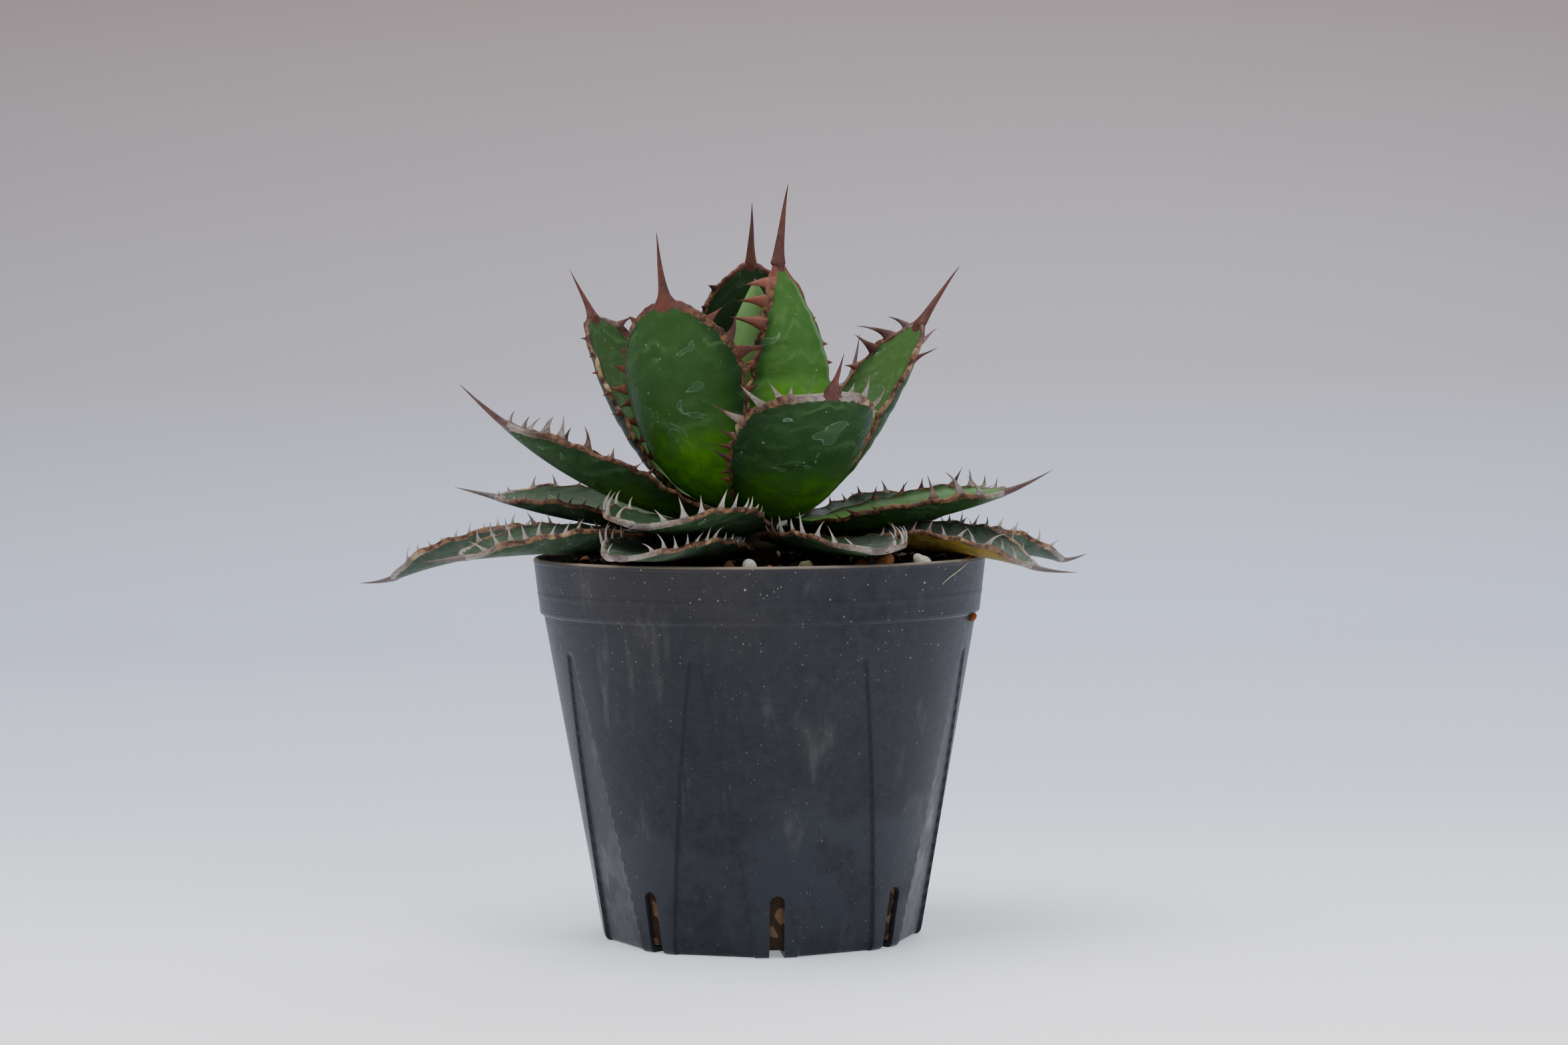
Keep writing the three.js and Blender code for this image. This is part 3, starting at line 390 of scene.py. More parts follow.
         spine=10, hook=1.5, grey=0.8, bright=0.15, teeth=(7, 4), stand=70),
    dict(azimuth=-27, lift=-2, rise=6, droop=-10, power=1.6, length=55, width=25, cup=0.4, tipCup=0.5,
         thick=2.8, spine=7, hook=2, grey=1, bright=0.1, turnLeft=(75, 60), turnRight=(86, 64),
         left=((4, 3.4, -1), (8, 4.6, -1.8), (12.5, 5.2, -2.2), (17, 4.2, 1.4), (22, 3.4, 1), (28, 3)),
         right=((7, 2.6, -1), (10, 3.6, -0.8), (13.2, 3.4, 0.3), (16.5, 2.6, 0.5), (19.5, 2.4, 1.6),
                (22.7, 3, 1.1), (26, 2.8, 1.9), (30, 2.4, 1), (33.5, 2, 0.9), (37, 1.8, 0.6),
                (41, 1.6, 0.7))),
    dict(azimuth=107, lift=-1, rise=10, droop=-30, power=1.6, length=64.5, width=24, taper=1.5, cup=0.3,
         roll=-1, thick=2.8, plump=0.5, spine=6, hook=3.3, grey=0.85, bright=0.2, teeth=(9, 3.8),
         turnLeft=(54, 54), turnRight=(72, 60)),
    dict(azimuth=-98, lift=0, rise=12.5, droop=-39, power=1.6, length=77, width=24, taper=1.5, cup=0.3,
         roll=6, thick=2.8, spine=8, hook=2.3, grey=0.95, bright=0.15, teeth=(10, 3.8), turnLeft=(74, 65),
         turnRight=(54, 55),
         right=((9.5, 2.6), (13, 1.8), (16.5, 2.4), (19.8, 1.6), (23, 2.4), (26.5, 2.6), (30, 1.6),
                (33.4, 2.6), (36.8, 2.6), (40.2, 3), (43.6, 2.2), (47, 2)))
]


def settle(s, reach):
    # 0 at the base, nearing 1 once s is well past reach
    return 1 - np.exp(-np.maximum(s, 0) / reach)


def halfWidth(leaf, s):
    # swells as a sine from the base to the widest place, then rounds off to the tip: 1 - t to the
    # power taper, all to the power point; low scallops run along it, gone at both ends
    low = leaf["base"] + (1 - leaf["base"]) * np.sin(np.clip(s / leaf["widest"], 0, 1) * np.pi / 2)
    t = np.clip((s - leaf["widest"]) / (1 - leaf["widest"]), 0, 1)
    high = (1 - t ** leaf["taper"]) ** leaf["point"]
    half = leaf["width"] / 2 * np.where(s < leaf["widest"], low, high)
    along = s * leaf["length"]
    ripple = np.sin(along * 1.05 + leaf["index"]) + 0.6 * np.sin(along * 1.9 + 1)
    return half + (blade["scallop"] + 0.22 * leaf["broad"]) * ripple * np.sin(np.clip(s, 0, 1) * np.pi) ** 0.7


def thickness(leaf, s, v):
    # full thickness at s along and v across (-1 to 1): thick at the midrib, thin at the edge
    swell = 0.5 + 0.5 * np.sin(np.clip(s / 0.4, 0, 1) * np.pi / 2)
    thin = 1 - 0.7 * (np.maximum(s - 0.4, 0) / 0.62) ** 2.2
    middle = np.minimum(leaf["thick"] * swell * thin, leaf["plump"] * halfWidth(leaf, s) + 0.6)
    rounded = np.maximum(1 - np.clip(v, -1, 1) ** 2, 0) ** 0.9
    return blade["edge"] + np.maximum(middle - blade["edge"], 0) * rounded


def elevation(leaf, s):
    # angle of the midrib above level
    settled = leaf["rise"] + (leaf["lift"] - leaf["rise"]) * (1 - settle(s, leaf["turn"]))
    return (settled + leaf["droop"] * np.maximum(s, 0) ** leaf["power"]) * deg


def readyLeaf(index, given, steps=120):
    # adds the base's place and the midrib, found by walking along the elevation in even steps
    leaf = {**usualLeaf, **given, "index": index, "name": f"leaf_{index + 1:02d}"}
    leaf["age"] = index / (len(leafTable) - 1)
    angle = elevation(leaf, (np.arange(steps) + 0.5) / steps)
    stride = leaf["length"] / steps
    radius = crown["topRadius"] + crown["radiusStep"] * index
    height = crown["topHeight"] - crown["heightStep"] * index
    leaf["reach"] = radius + stride * np.concatenate([[0], np.cumsum(np.cos(angle))])
    leaf["climb"] = height + stride * np.concatenate([[0], np.cumsum(np.sin(angle))])
    return leaf


def leafPoint(leaf, along, across, above):
    # along and across are laid out flat in millimetres, above is the height over the upper face;
    # the cross-section is bent to an arc, rolled about the midrib and carried along it
    along, across, above = np.broadcast_arrays(along, across, above)
    s = along / leaf["length"]
    inside = np.clip(s, 0, 1)
    angle = elevation(leaf, np.minimum(s, 1))
    steps = np.linspace(0, 1, len(leaf["reach"]))
    past = (s - inside) * leaf["length"]
    reach = np.interp(inside, steps, leaf["reach"]) + past * np.cos(angle)
    climb = np.interp(inside, steps, leaf["climb"]) + past * np.sin(angle)
    curl = leaf["cup"] * (0.1 + 0.9 * settle(s, 0.25)) + (leaf["tipCup"] - leaf["cup"]) * inside
    bend = curl / (leaf["width"] / 2)
    turned = bend * across
    x = np.sin(turned) / bend - np.sin(turned) * above
    y = (1 - np.cos(turned)) / bend + np.cos(turned) * above
    # the margin waves up and down, more toward the edge
    edge = np.clip(np.abs(across) / np.maximum(halfWidth(leaf, inside), 2.0), 0, 1.1) ** 4
    phase = 1.9 * leaf["index"] + 2.0 * np.sign(across)
    y = y + blade["wave"] * edge * np.sin(along * 0.55 + phase) * np.sin(along * 0.23 + 2 * phase)
    roll = leaf["roll"] * deg * settle(s, 0.15)
    x = x + leaf["sway"] * np.sin(np.pi * inside) + leaf["tipSway"] * np.maximum(s - 1, 0) * 3
    side = x * np.cos(roll) - y * np.sin(roll)
    lift = x * np.sin(roll) + y * np.cos(roll)
    out = reach - lift * np.sin(angle)
    azimuth = leaf["azimuth"] * deg
    return np.stack([out * np.sin(azimuth) + side * np.cos(azimuth),
                     -out * np.cos(azimuth) + side * np.sin(azimuth),
                     climb + lift * np.cos(angle)], -1)


def marginOf(leaf):
    # the flat outline from base to tip, and the distance along it
    s = np.sin(np.linspace(0, 1, 600) * np.pi / 2)
    x, y = s * leaf["length"], halfWidth(leaf, s)
    ruler = np.concatenate([[0], np.cumsum(np.hypot(np.diff(x), np.diff(y)))])
    return {"x": x, "y": y, "ruler": ruler, "total": ruler[-1]}


def marginPoint(margin, m):
    # m is the distance from the tip along the edge, negative on the left: the place in the flat leaf
    done = margin["total"] - np.abs(m)
    x = np.interp(done, margin["ruler"], margin["x"])
    y = np.interp(done, margin["ruler"], margin["y"]) * np.sign(m)
    return np.stack([x, y], -1)


def marginFrame(margin, m, step=0.6):
    # the place on the edge, and unit vectors along it and outward
    change = marginPoint(margin, m + step) - marginPoint(margin, m - step)
    ahead = change / np.linalg.norm(change, axis=-1, keepdims=True)
    return marginPoint(margin, m), ahead, np.stack([ahead[:, 1], -ahead[:, 0]], -1)


def bladeShape(leaf):
    # a ring round the blade for each row: over the upper face, then back under the lower one
    s = np.sin(np.linspace(0, 0.996, blade["rows"]) * np.pi / 2)[:, None]
    v = np.sin(np.linspace(-1, 1, blade["columns"]) * np.pi / 2)[None, :]
    half = halfWidth(leaf, s)
    upper = leafPoint(leaf, s * leaf["length"], v * half, 0.0)
    lower = leafPoint(leaf, s * leaf["length"], v * half, -thickness(leaf, s, v))
    rings = np.concatenate([upper, lower[:, ::-1]], 1)
    across = np.concatenate([v, v[:, ::-1]], 1) + 0 * s
    under = np.repeat([[0.0, 1.0]], v.size, 1) + 0 * s
    s = s + 0 * across
    marks = {"along": s.ravel(), "across": across.ravel(), "under": under.ravel()}
    flat = np.stack([across * half / 100 + 0.5 + under, s * leaf["length"] / 100], -1)
    return rings.reshape(-1, 3), tubeFaces(*across.shape), marks, flat.reshape(-1, 2)


def edgeTeeth(leaf, side, total):
    # (distance from the tip, length, slide along the edge): the listed ones, or by the part's own
    # rule, small below, long above and uneven
    given = leaf.get("left" if side < 0 else "right")
    if given:
        return [(side * row[0], row[1], row[2] if len(row) > 2 else None) for row in given]
    count, longest = leaf["teeth"]
    teeth = []
    for k in range(count):
        jitter = (golden * (k + 1) + 0.37 * leaf["index"] + (0.5 if side > 0 else 0)) % 1
        t = (k + 0.5 + 0.5 * (jitter - 0.5)) / count
        size = 0.3 + 0.7 * np.sin(min(t * 1.15, 1) * np.pi / 2) ** 1.4
        place = (0.21 + 0.69 * t) * total
        teeth.append((side * (total - place), longest * size * (0.7 + 0.3 * ((jitter * 3.7) % 1)), None))
    return teeth


def listTeeth(leaf, total, rng):
    # a row for each tooth: place, length, foot, slide toward the tip, first and last angle, thickness
    rows = []
    for side in (-1, 1):
        turn = leaf.get("turnLeft" if side < 0 else "turnRight", (leaf["stand"], leaf["stand"]))
        for place, length, lean in edgeTeeth(leaf, side, total):
            if lean is None:
                lean = rng.uniform(-0.3, 0.45) * length
            turned = turn[0] + (turn[1] - turn[0]) * np.clip((abs(place) - 5) / 25, 0, 1)
            foot = (0.72 + 0.2 * length ** 0.8) * (1 + 0.5 * leaf["broad"])
            bend = rng.uniform(-5, 30) * (0.4 + leaf["age"])
            rows.append((place, 1.12 * length, foot, side * 1.1 * lean, turned * 0.6 * deg,
                         (turned * 1.15 + bend) * deg, 0.22 + 0.05 * length))
        # nubs and torn slivers of horn between the teeth
        for _ in range(horn["nubs"]):
            place = side * rng.uniform(6, total * (1 - horn["start"]) - 2)
            if min(abs(place - row[0]) for row in rows) > 1.2:
                length = rng.uniform(0.4, 1.3)
                rows.append((place, length, rng.uniform(0.5, 0.9), rng.uniform(-1.2, 1.2) * length,
                             0.0, rng.uniform(-20, 60) * deg, 0.2))
    return np.array(rows)


def edgeBand(leaf, margin, teeth):
    # the strip round the edge: a lens across, its reach a wavy band with a low swelling under each
    # tooth, its lap over the green wider toward the tip
    total = margin["total"]
    top = total * (1 - horn["start"])
    m = np.concatenate([np.arange(-top, -4, 0.5), np.arange(-4, 4.01, 0.2), np.arange(4.5, top, 0.5)])
    tipward = 1 - np.abs(m) / total
    wander = np.sin(m * 1.7 + leaf["index"]) * np.sin(m * 0.9 + 2 * leaf["index"])
    ragged = np.sin(m * 1.9 + 3 * leaf["index"]) * np.sin(m * 0.8)
    swell = (np.exp(-((m[:, None] - teeth[:, 0]) / (1.3 * teeth[:, 2])) ** 2) * teeth[:, 2]).sum(1)
    reach = horn["band"] * (0.3 + 0.5 * tipward ** 2 + 0.45 * leaf["broad"]) * (1 + 0.3 * wander)
    reach = reach + 0.2 * np.minimum(swell, 2.5)
    lap = horn["lap"] * (0.15 + 0.25 * tipward + 0.4 * tipward ** 5) * (1 + 0.3 * ragged)
    lap = lap * (1 + (1.3 * leaf["border"] - 0.6) * smoothStep(5 * tipward - 3.6))
    lap = (lap + 0.1 * swell) * (1 - 0.35 * np.exp(-(m / 2.5) ** 2))
    share = np.array([0.0, 0.35, 0.65, 0.88, 1.0])
    half = (blade["edge"] / 2 + horn["shell"]) * np.sqrt(np.maximum(1 - share ** 2, 0.002))
    # seven places across, two of them on the green, and back again underneath
    out = np.concatenate([np.array([-1.0, -0.55]) * lap[:, None], share * reach[:, None]], 1)
    start, _, outward = marginFrame(margin, m)
    x, y = start[:, :1] + outward[:, :1] * out, start[:, 1:] + outward[:, 1:] * out
    s = np.clip(x[:, :2] / leaf["length"], 0, 1)
    v = np.clip(np.abs(y[:, :2]) / np.maximum(halfWidth(leaf, s), 0.2), 0, 1)
    proud = np.array([-0.05, horn["shell"] * 0.9]) + 0 * s
    middle = -blade["edge"] / 2 + np.zeros((len(m), 1))
    over = np.concatenate([proud, middle + half], 1)
    under = np.concatenate([-thickness(leaf, s, v) - proud, middle - half], 1)
    x, y = [np.concatenate([flat, flat[:, ::-1]], 1) for flat in (x, y)]
    rings = leafPoint(leaf, x, y, np.concatenate([over, under[:, ::-1]], 1))
    rows, count = x.shape
    marks = {"far": 0.0, "isSpine": 0.0, "grey": leaf["grey"], "tipward": np.repeat(tipward, count),
             "u": np.tile(np.linspace(0, 1, count) * 0.02, rows), "w": np.repeat(m / 400, count)}
    return rings.reshape(-1, 3), tubeFaces(rows, count), marks


def tubes(leaf, middle, width, thick, basis, marks):
    # middle (n, k, 3) holds each tube's line in the flat leaf: x, y, height. The ellipse at each point
    # is turned square to the line; basis is the edge direction that its width follows
    line = np.gradient(middle, axis=1)
    line /= np.maximum(np.linalg.norm(line, axis=-1, keepdims=True), 1e-9)
    wide = basis - (basis * line).sum(-1, keepdims=True) * line
    wide /= np.linalg.norm(wide, axis=-1, keepdims=True)
    high = np.cross(line, wide)
    turn = np.arange(horn["around"]) * 2 * np.pi / horn["around"]
    ring = (middle[:, :, None, :] + (width[..., None] * np.cos(turn))[..., None] * wide[:, :, None, :]
            + (thick[..., None] * np.sin(turn))[..., None] * high[:, :, None, :])
    points = leafPoint(leaf, ring[..., 0], ring[..., 1], ring[..., 2])
    n, k, around = points.shape[:3]
    marks = {key: np.repeat(np.broadcast_to(value, (n, k)).ravel(), around) for key, value in marks.items()}
    marks["u"] = np.tile(turn / 6.28 * 0.012, n * k)
    starts = np.arange(n) * k * around
    faces = [[corner + int(start) for corner in face] for start in starts for face in tubeFaces(k, around)]
    return points.reshape(-1, 3), faces, marks


def toothTubes(leaf, margin, teeth):
    # each tooth leaves the edge outward, bends up from its first angle to its last and slides along
    # the edge with the share gone to the power 1.7, and 2.2 on the oldest leaf. Half width: a needle
    # on a flared foot, which falls off more slowly on the leaves whose teeth stand broad
    place, length, foot, lean, begin, end, thick = teeth.T[:, :, None]
    g = (np.linspace(0, 1, 14) ** 1.15)[None, :]
    change = np.where(np.abs(end - begin) < 0.02, 0.02, end - begin)
    theta = begin + change * g
    run = (np.sin(theta) - np.sin(begin)) / change * length - 0.35
    rise = (np.cos(begin) - np.cos(theta)) / change * length
    slide = lean * (1 + 0.8 * leaf["age"]) * g ** (1.7 + 0.5 * leaf["age"])
    start, ahead, outward = marginFrame(margin, teeth[:, 0], 1.2)
    x = start[:, :1] + outward[:, :1] * run + ahead[:, :1] * slide
    y = start[:, 1:] + outward[:, 1:] * run + ahead[:, 1:] * slide
    middle = np.stack([x, y, rise - blade["edge"] / 2], -1)
    left = np.maximum(1 - g, 0.004)
    needle = 0.25 + 0.12 * leaf["broad"]
    width = foot * (needle * left ** 0.85 + (1 - needle) * left ** (5 - 2.4 * leaf["broad"]))
    depth = np.minimum(thick * left ** 0.7 + 0.15 * left ** 4, width * 1.6)
    basis = np.concatenate([ahead, np.zeros((len(teeth), 1))], -1)[:, None, :]
    marks = {"far": g, "isSpine": 0.0, "grey": leaf["grey"],
             "tipward": 1 - np.abs(place) / margin["total"], "w": place / 100 + g * length / 400}
    return tubes(leaf, middle, width, depth, basis, marks)


def spineTube(leaf):
    # its root lies in the blade's last millimetres and swells to meet a nearly straight cone, whose
    # half width is stout times what is left to the power 1.15, on a foot flared as exp(-d / 1.6)
    covered, ease, long = spine["covered"], spine["ease"], leaf["spine"]
    d = np.concatenate([np.linspace(-covered, 0, 14)[:-1], long * np.linspace(0, 1, 22)])[None, :]
    g = np.maximum(d, 0) / long
    s = np.clip(1 + d / leaf["length"], 0, 1)
    stout = max(spine["stout"] * long, spine["leastStout"])
    flare = (0.9 * leaf["border"] + 0.3) * max(1 - 2.2 * (leaf["point"] - 0.5), 0)
    cone = stout * (0.05 + 0.95 * np.maximum(1 - g, 0) ** 1.15) * np.minimum((1.004 - g) / 0.02, 1)
    come = smoothStep((d + covered) / (covered - 0.6))
    joined = smoothStep((d + ease) / ease)
    root = np.minimum(halfWidth(leaf, s), stout + flare - 0.5 * d) * (0.25 + 0.75 * come) + 0.1
    root = np.maximum(root, (stout + flare) * joined)
    width = np.where(d < 0, root, cone + flare * np.exp(-np.maximum(d, 0) / spine["flareLength"]))
    deep = thickness(leaf, s, 0) / 2 + 0.16 * come - 0.1
    deep = deep + np.maximum(0.85 * stout - deep, 0) * joined
    depth = np.minimum(np.where(d < 0, deep, 0.85 * cone), 0.95 * stout)
    height = -thickness(leaf, s, 0) / 2 * (1 - g) + leaf["hook"] * g ** 1.5
    sway = 0.35 * np.sin(g * 5 + leaf["index"]) * g * (1 - g)
    middle = np.stack([leaf["length"] + d, sway, height], -1)
    marks = {"far": g, "isSpine": 1.0, "tipward": 1.0, "w": d / 400,
             "grey": leaf.get("spineGrey", leaf["grey"])}
    return tubes(leaf, middle, width, depth, np.array([[[0.0, -1.0, 0.0]]]), marks)


def hornShape(leaf, rng):
    margin = marginOf(leaf)
    teeth = listTeeth(leaf, margin["total"], rng)
    parts = [edgeBand(leaf, margin, teeth), toothTubes(leaf, margin, teeth), spineTube(leaf)]
    parts = [(points, pointOut(points, faces), marks) for points, faces, marks in parts]
    points, faces, marks = join(parts)
    return points, faces, marks, np.stack([marks.pop("u"), marks.pop("w")], -1)


def makeLeafSkin():
    # waxy green: yellower low down in the middle, and brighter there as a painted glow of light through it,
    # dark above and near the edges, with faint prints of the neighbours' teeth, dried water, dust and fine
    # scars
    material = newMaterial("leafSkin", specular=0.08)
    names = ("along", "across", "age", "under", "seed", "bright", "sere")
    along, across, age, under, seed, bright, sere = attributes(material, *names)
    flat = shifted(skinPlace(material), seed, 3.7)
    cloud = noise(flat, 9.0, 3.0, 0.55)
    mottle = noise(flat, 24.0, 4.0, 0.6, 0.4)
    fine = noise(flat, 90.0, 4.0, 0.65)
    # bright and keen carry each leaf's painted light and shade as well as how fresh its green is
    keen = bright ** 2.0
    span = abs(across)
    # low: the yellower base, lit up further by a painted glow of light shining through the leaf
    low = soft(along + (cloud - 0.5) * 0.35, 0.22, 0.62, 1.0, 0.0) * soft(span, 0.35, 0.95, 1.0, 0.25)
    green = blend(low, blend(keen, (0.0095, 0.028, 0.0085), (0.052, 0.135, 0.026)),
                  blend(bright, (0.026, 0.085, 0.004), (0.165, 0.47, 0.006)))
    # the upper face is paler and cooler, the edges are dark
    green = blend((1.0 - under) * 0.45, green, blend(keen, (0.030, 0.052, 0.028), (0.095, 0.165, 0.05)))
    green = blend(soft(mottle, 0.38, 0.62, 0.0, 0.5), green,
                  blend(keen, (0.016, 0.040, 0.014), (0.07, 0.17, 0.04)))
    green = blend(soft(span, 0.66, 1.0, 0.0, 0.7), green, (0.009, 0.026, 0.010))
    # the brightest leaf has a pale stripe beside its right edge, a painted sheen on its wax; old leaves are
    # dulled all over
    sheenStripe = soft(across, 0.5, 0.66) * soft(across, 0.74, 0.9, 1.0, 0.0)
    green = blend(sheenStripe * spread(bright, 0.89, 0.92, 0.0, 0.55), green, (0.15, 0.27, 0.12))
    green = blend(spread(age, 0.35, 1.0, 0.0, 0.5), green, (0.050, 0.068, 0.050))
    yellow = blend(spread(mottle, 0.35, 0.65), (0.085, 0.075, 0.012), (0.30, 0.17, 0.010))
    green = blend(sere * under * spread(cloud, 0.3, 0.55, 0.5, 1.0), green, yellow)
    # prints: nested arcs that fall away from the midrib, scalloped, and broken by a slow noise
    arc = along + span ** 2.2 * 0.2 + calc("SINE", across * 11.0) * 0.02 + (mottle - 0.5) * 0.16
    comb = soft(abs(calc("FRACT", arc * 9.0) - 0.5), 0.0, 0.3, 1.0, 0.0)
    pale = comb * soft(cloud, 0.42, 0.65) * spread(along, 0.15, 0.7, 0.1, 0.3)
    green = blend(pale, green, blend(bright, (0.05, 0.10, 0.045), (0.16, 0.30, 0.10)))
    # dried water: small outlined patches, and streaks that dust has left on the old leaves
    level = spread(bright, 0.58, 0.64, 0.66, 0.625)
    stain = put("ShaderNodeGroup", {"Vector": flat, "Scale": 15.0, "Level": level, "Width": 0.006},
                node_tree=waterStain)
    for mask, share, colour in (("Line", 0.5, (0.26, 0.36, 0.28)), ("Film", 0.17, (0.10, 0.17, 0.11))):
        green = blend(stain[mask] * spread(along, 0.3, 0.6, 0.0, share), green, colour)
    dusty = spread(mottle, 0.45, 0.7) * spread(age, 0.2, 1.0, 0.0, 0.35)
    green = blend(dusty, green, (0.13, 0.14, 0.115))
    green = dusted(green, flat, (0.36, 0.40, 0.30), ((90.0, 0.08, 0.2, 0.5), (230.0, 0.06, 0.22, 0.45)))
    rough = spread(fine, 0.3, 0.7, 0.42, 0.58) + pale * 0.4
    return dress(material, {"Base Color": green, "Roughness": rough}, mottle * 0.5 + comb * 0.1 + fine * 0.06,
                 0.0008, 0.5)


def makeHornSkin():
    # purple-brown and faintly satin when young; weathered to grey-white from the tip down, with brown
    # feet, tan corky edges and near-black points
    material = newMaterial("hornSkin", specular=0.2)
    names = ("far", "grey", "tipward", "seed", "isSpine", "bright")
    far, grey, tipward, seed, isSpine, bright = attributes(material, *names)
    flat = shifted(skinPlace(material), seed, 2.3)
    spot = shifted(objectPlace(material), seed, 1.3)
    streak = noise(flat, 320.0, 4.0, 0.65)
    patch = noise(spot, 150.0, 3.0, 0.55)
    crumb = noise(spot, 650.0, 4.0, 0.7)
    young = blend(spread(patch, 0.3, 0.7), (0.055, 0.022, 0.021), (0.13, 0.040, 0.024))
    young = blend(spread(crumb, 0.5, 0.8, 0.0, 0.5), young, (0.20, 0.085, 0.055))
    # lively follows bright, so the lighter young horn holds painted light as well as freshness
    lively = spread(bright, 0.6, 0.9) * spread(isSpine, 0.0, 1.0, 0.75, 0.0)
    young = blend(lively, young, blend(patch, (0.17, 0.075, 0.065), (0.26, 0.07, 0.035)))
    low = spread(tipward, 0.75, 0.45) * soft(patch, 0.42, 0.6)
    young = blend(low * 0.6, young, (0.26, 0.07, 0.024))
    worn = grey + (tipward - 0.75) * 0.9 + (patch - 0.5) * 0.9 - isSpine * 0.15
    worn = soft(worn, 0.3, 0.75)
    ash = blend(spread(streak, 0.3, 0.7), (0.095, 0.074, 0.064), (0.36, 0.315, 0.28))
    ash = blend(isSpine * 0.7, ash, (0.075, 0.055, 0.050))
    pale = blend(isSpine, (0.52, 0.47, 0.41), (0.10, 0.078, 0.07))
    ash = blend(spread(far, 0.1, 0.7, 0.0, 0.6) * spread(grey, 0.62, 0.8), ash, pale)
    colour = blend(worn, young, ash)
    # the foot: brown under the teeth, tan and corky in patches
    cork = blend(spread(crumb, 0.42, 0.6), (0.035, 0.015, 0.011), (0.20, 0.10, 0.045))
    cork = blend(spread(patch, 0.58, 0.66), cork, (0.36, 0.24, 0.13))
    foot = spread(far, 0.0, 0.22, 0.95, 0.0) * spread(tipward, 0.95, 0.83)
    colour = blend(foot * spread(patch, 0.25, 0.42, 0.7, 1.0), colour, cork)
    dark = spread(far, 0.6, 1.0) * spread(worn, 0.0, 1.0, 0.75, 0.35)
    colour = blend(dark, colour, (0.035, 0.016, 0.014))
    return dress(material, {"Base Color": colour, "Roughness": spread(streak, 0.3, 0.7, 0.45, 0.65)},
                 streak + crumb * 0.6, 0.0003, 0.7)


leafSkin = makeLeafSkin()
hornSkin = makeHornSkin()
leaves = [readyLeaf(index, given) for index, given in enumerate(leafTable)]
for leaf in leaves:
    rng = np.random.default_rng(100 + leaf["index"])
    name, bright = leaf["name"], leaf["bright"]
    seed = leaf["index"] * 1.37
    stage = "young" if leaf["index"] < 7 else "old"
    upper = leaf.get("upper", bright)
    points, faces, marks, uv = bladeShape(leaf)
    # shown: each face's bright, with its painted light and shade included along with its freshness
    shown = upper + (bright - upper) * marks["under"]
    marks.update(age=leaf["age"], seed=seed, sere=leaf["sere"], bright=shown)
    makePiece(f"{name}_green", points, faces, leafSkin, [f"{name}_blade"], uv, marks)
    points, faces, marks, uv = hornShape(leaf, rng)
    marks.update(seed=seed, bright=bright)
    makePiece(f"{name}_border", points, faces, hornSkin, [f"{name}_horn"], uv, marks)
print("leaves made:", len(leaves))


# ---- bud: the unopened leaves rolled to a cone, one edge wound over the other

bud = {"foot": 103.2, "length": 49.5, "widest": 0.6, "half": 8.0, "flat": 0.6, "rows": 90, "columns": 60}


def budShape():
    # half width swells to its widest and falls to a point as 1 - u to the power 1.5; the section is an
    # ellipse, flatter from front to back, and the seam is a step in the half width that winds up it
    t = np.linspace(0, 1, bud["rows"])[:, None]
    turn = np.linspace(0, 1, bud["columns"], endpoint=False)[None, :]
    swell = 0.45 + 0.55 * np.sin(np.clip(t / bud["widest"], 0, 1) * np.pi / 2)
    close = 1 - ((t - bud["widest"]) / (1 - bud["widest"])).clip(0, 1) ** 1.5
    radius = bud["half"] * np.where(t < bud["widest"], swell, 0.02 + 0.98 * close)
    seam = (turn - 0.62 - 0.35 * t) % 1
    step = 0.6 * smoothStep(seam / 0.05) * (1 - 0.6 * seam) * np.sin(np.clip(t * 1.15, 0, 1) * np.pi)
    radius = np.maximum(radius + step - 0.2, 0.05)
    points = polar(radius, turn * 360, bud["foot"] + bud["length"] * t)
    # it leans a little back half way up, and to the left
    points[..., 1] = points[..., 1] * bud["flat"] + 1.5 * np.sin(t[..., 0] * np.pi)[:, None]
    points[..., 0] -= 0.6 * t
    return points.reshape(-1, 3), {"along": np.repeat(t.ravel(), bud["columns"])}


def makeBudSkin():
    material = newMaterial("budSkin", 0.4)
    green = blend(noise(objectPlace(material), 300.0), (0.10, 0.22, 0.055), (0.16, 0.31, 0.09))
    tip = soft(attributes(material, "along")[0], 0.95, 0.99)
    return dress(material, {"Base Color": blend(tip, green, (0.16, 0.05, 0.03))})


points, marks = budShape()
faces = tubeFaces(bud["rows"], bud["columns"])
makePiece("bud", points, faces, makeBudSkin(), ["bud"], marks=marks)


# ---- stem: the short bare neck under the leaves, ringed by old leaf scars

stem = {"foot": 73, "top": 102, "radius": 4.3, "ring": 0.35, "rows": 60, "columns": 48}


def makeStemSkin():
    material = newMaterial("stemSkin", 0.8)
    grain = noise(stretched(objectPlace(material), 6), 120.0, 4.0)
    return dress(material, {"Base Color": blend(grain, (0.05, 0.03, 0.018), (0.22, 0.15, 0.08))}, grain)


z = np.linspace(stem["foot"], stem["top"], stem["rows"])[:, None]
radius = stem["radius"] + stem["ring"] * np.sin(z * 2.1) * (z < stem["top"] - 2)
points = polar(radius, np.arange(stem["columns"]) * 360 / stem["columns"], z).reshape(-1, 3)
faces = tubeFaces(stem["rows"], stem["columns"])
makePiece("stem", points, faces, makeStemSkin(), ["stem"])


# ---- pot: collar with a rolled lip, tapering body with eight recessed panels, eight foot slits

pot = {"rim": 52.5, "height": 88.5, "collarFoot": 75.6, "collarRadius": 51.0, "step": 0.8, "ridge": 4.6,
       "corner": 37.2, "foot": 1.8, "wall": 1.0, "floor": 1.2, "columns": 560}
panel = {"count": 8, "middle": 27.5, "apex": 67.0, "halfAngle": 14.5, "tipAngle": 1.0, "edge": 0.5,
         "depth": 0.9}
slit = {"first": 5.0, "width": 3.4, "height": 14.3, "inner": 25.0, "outer": 46.0}
pitch = 360 / panel["count"]


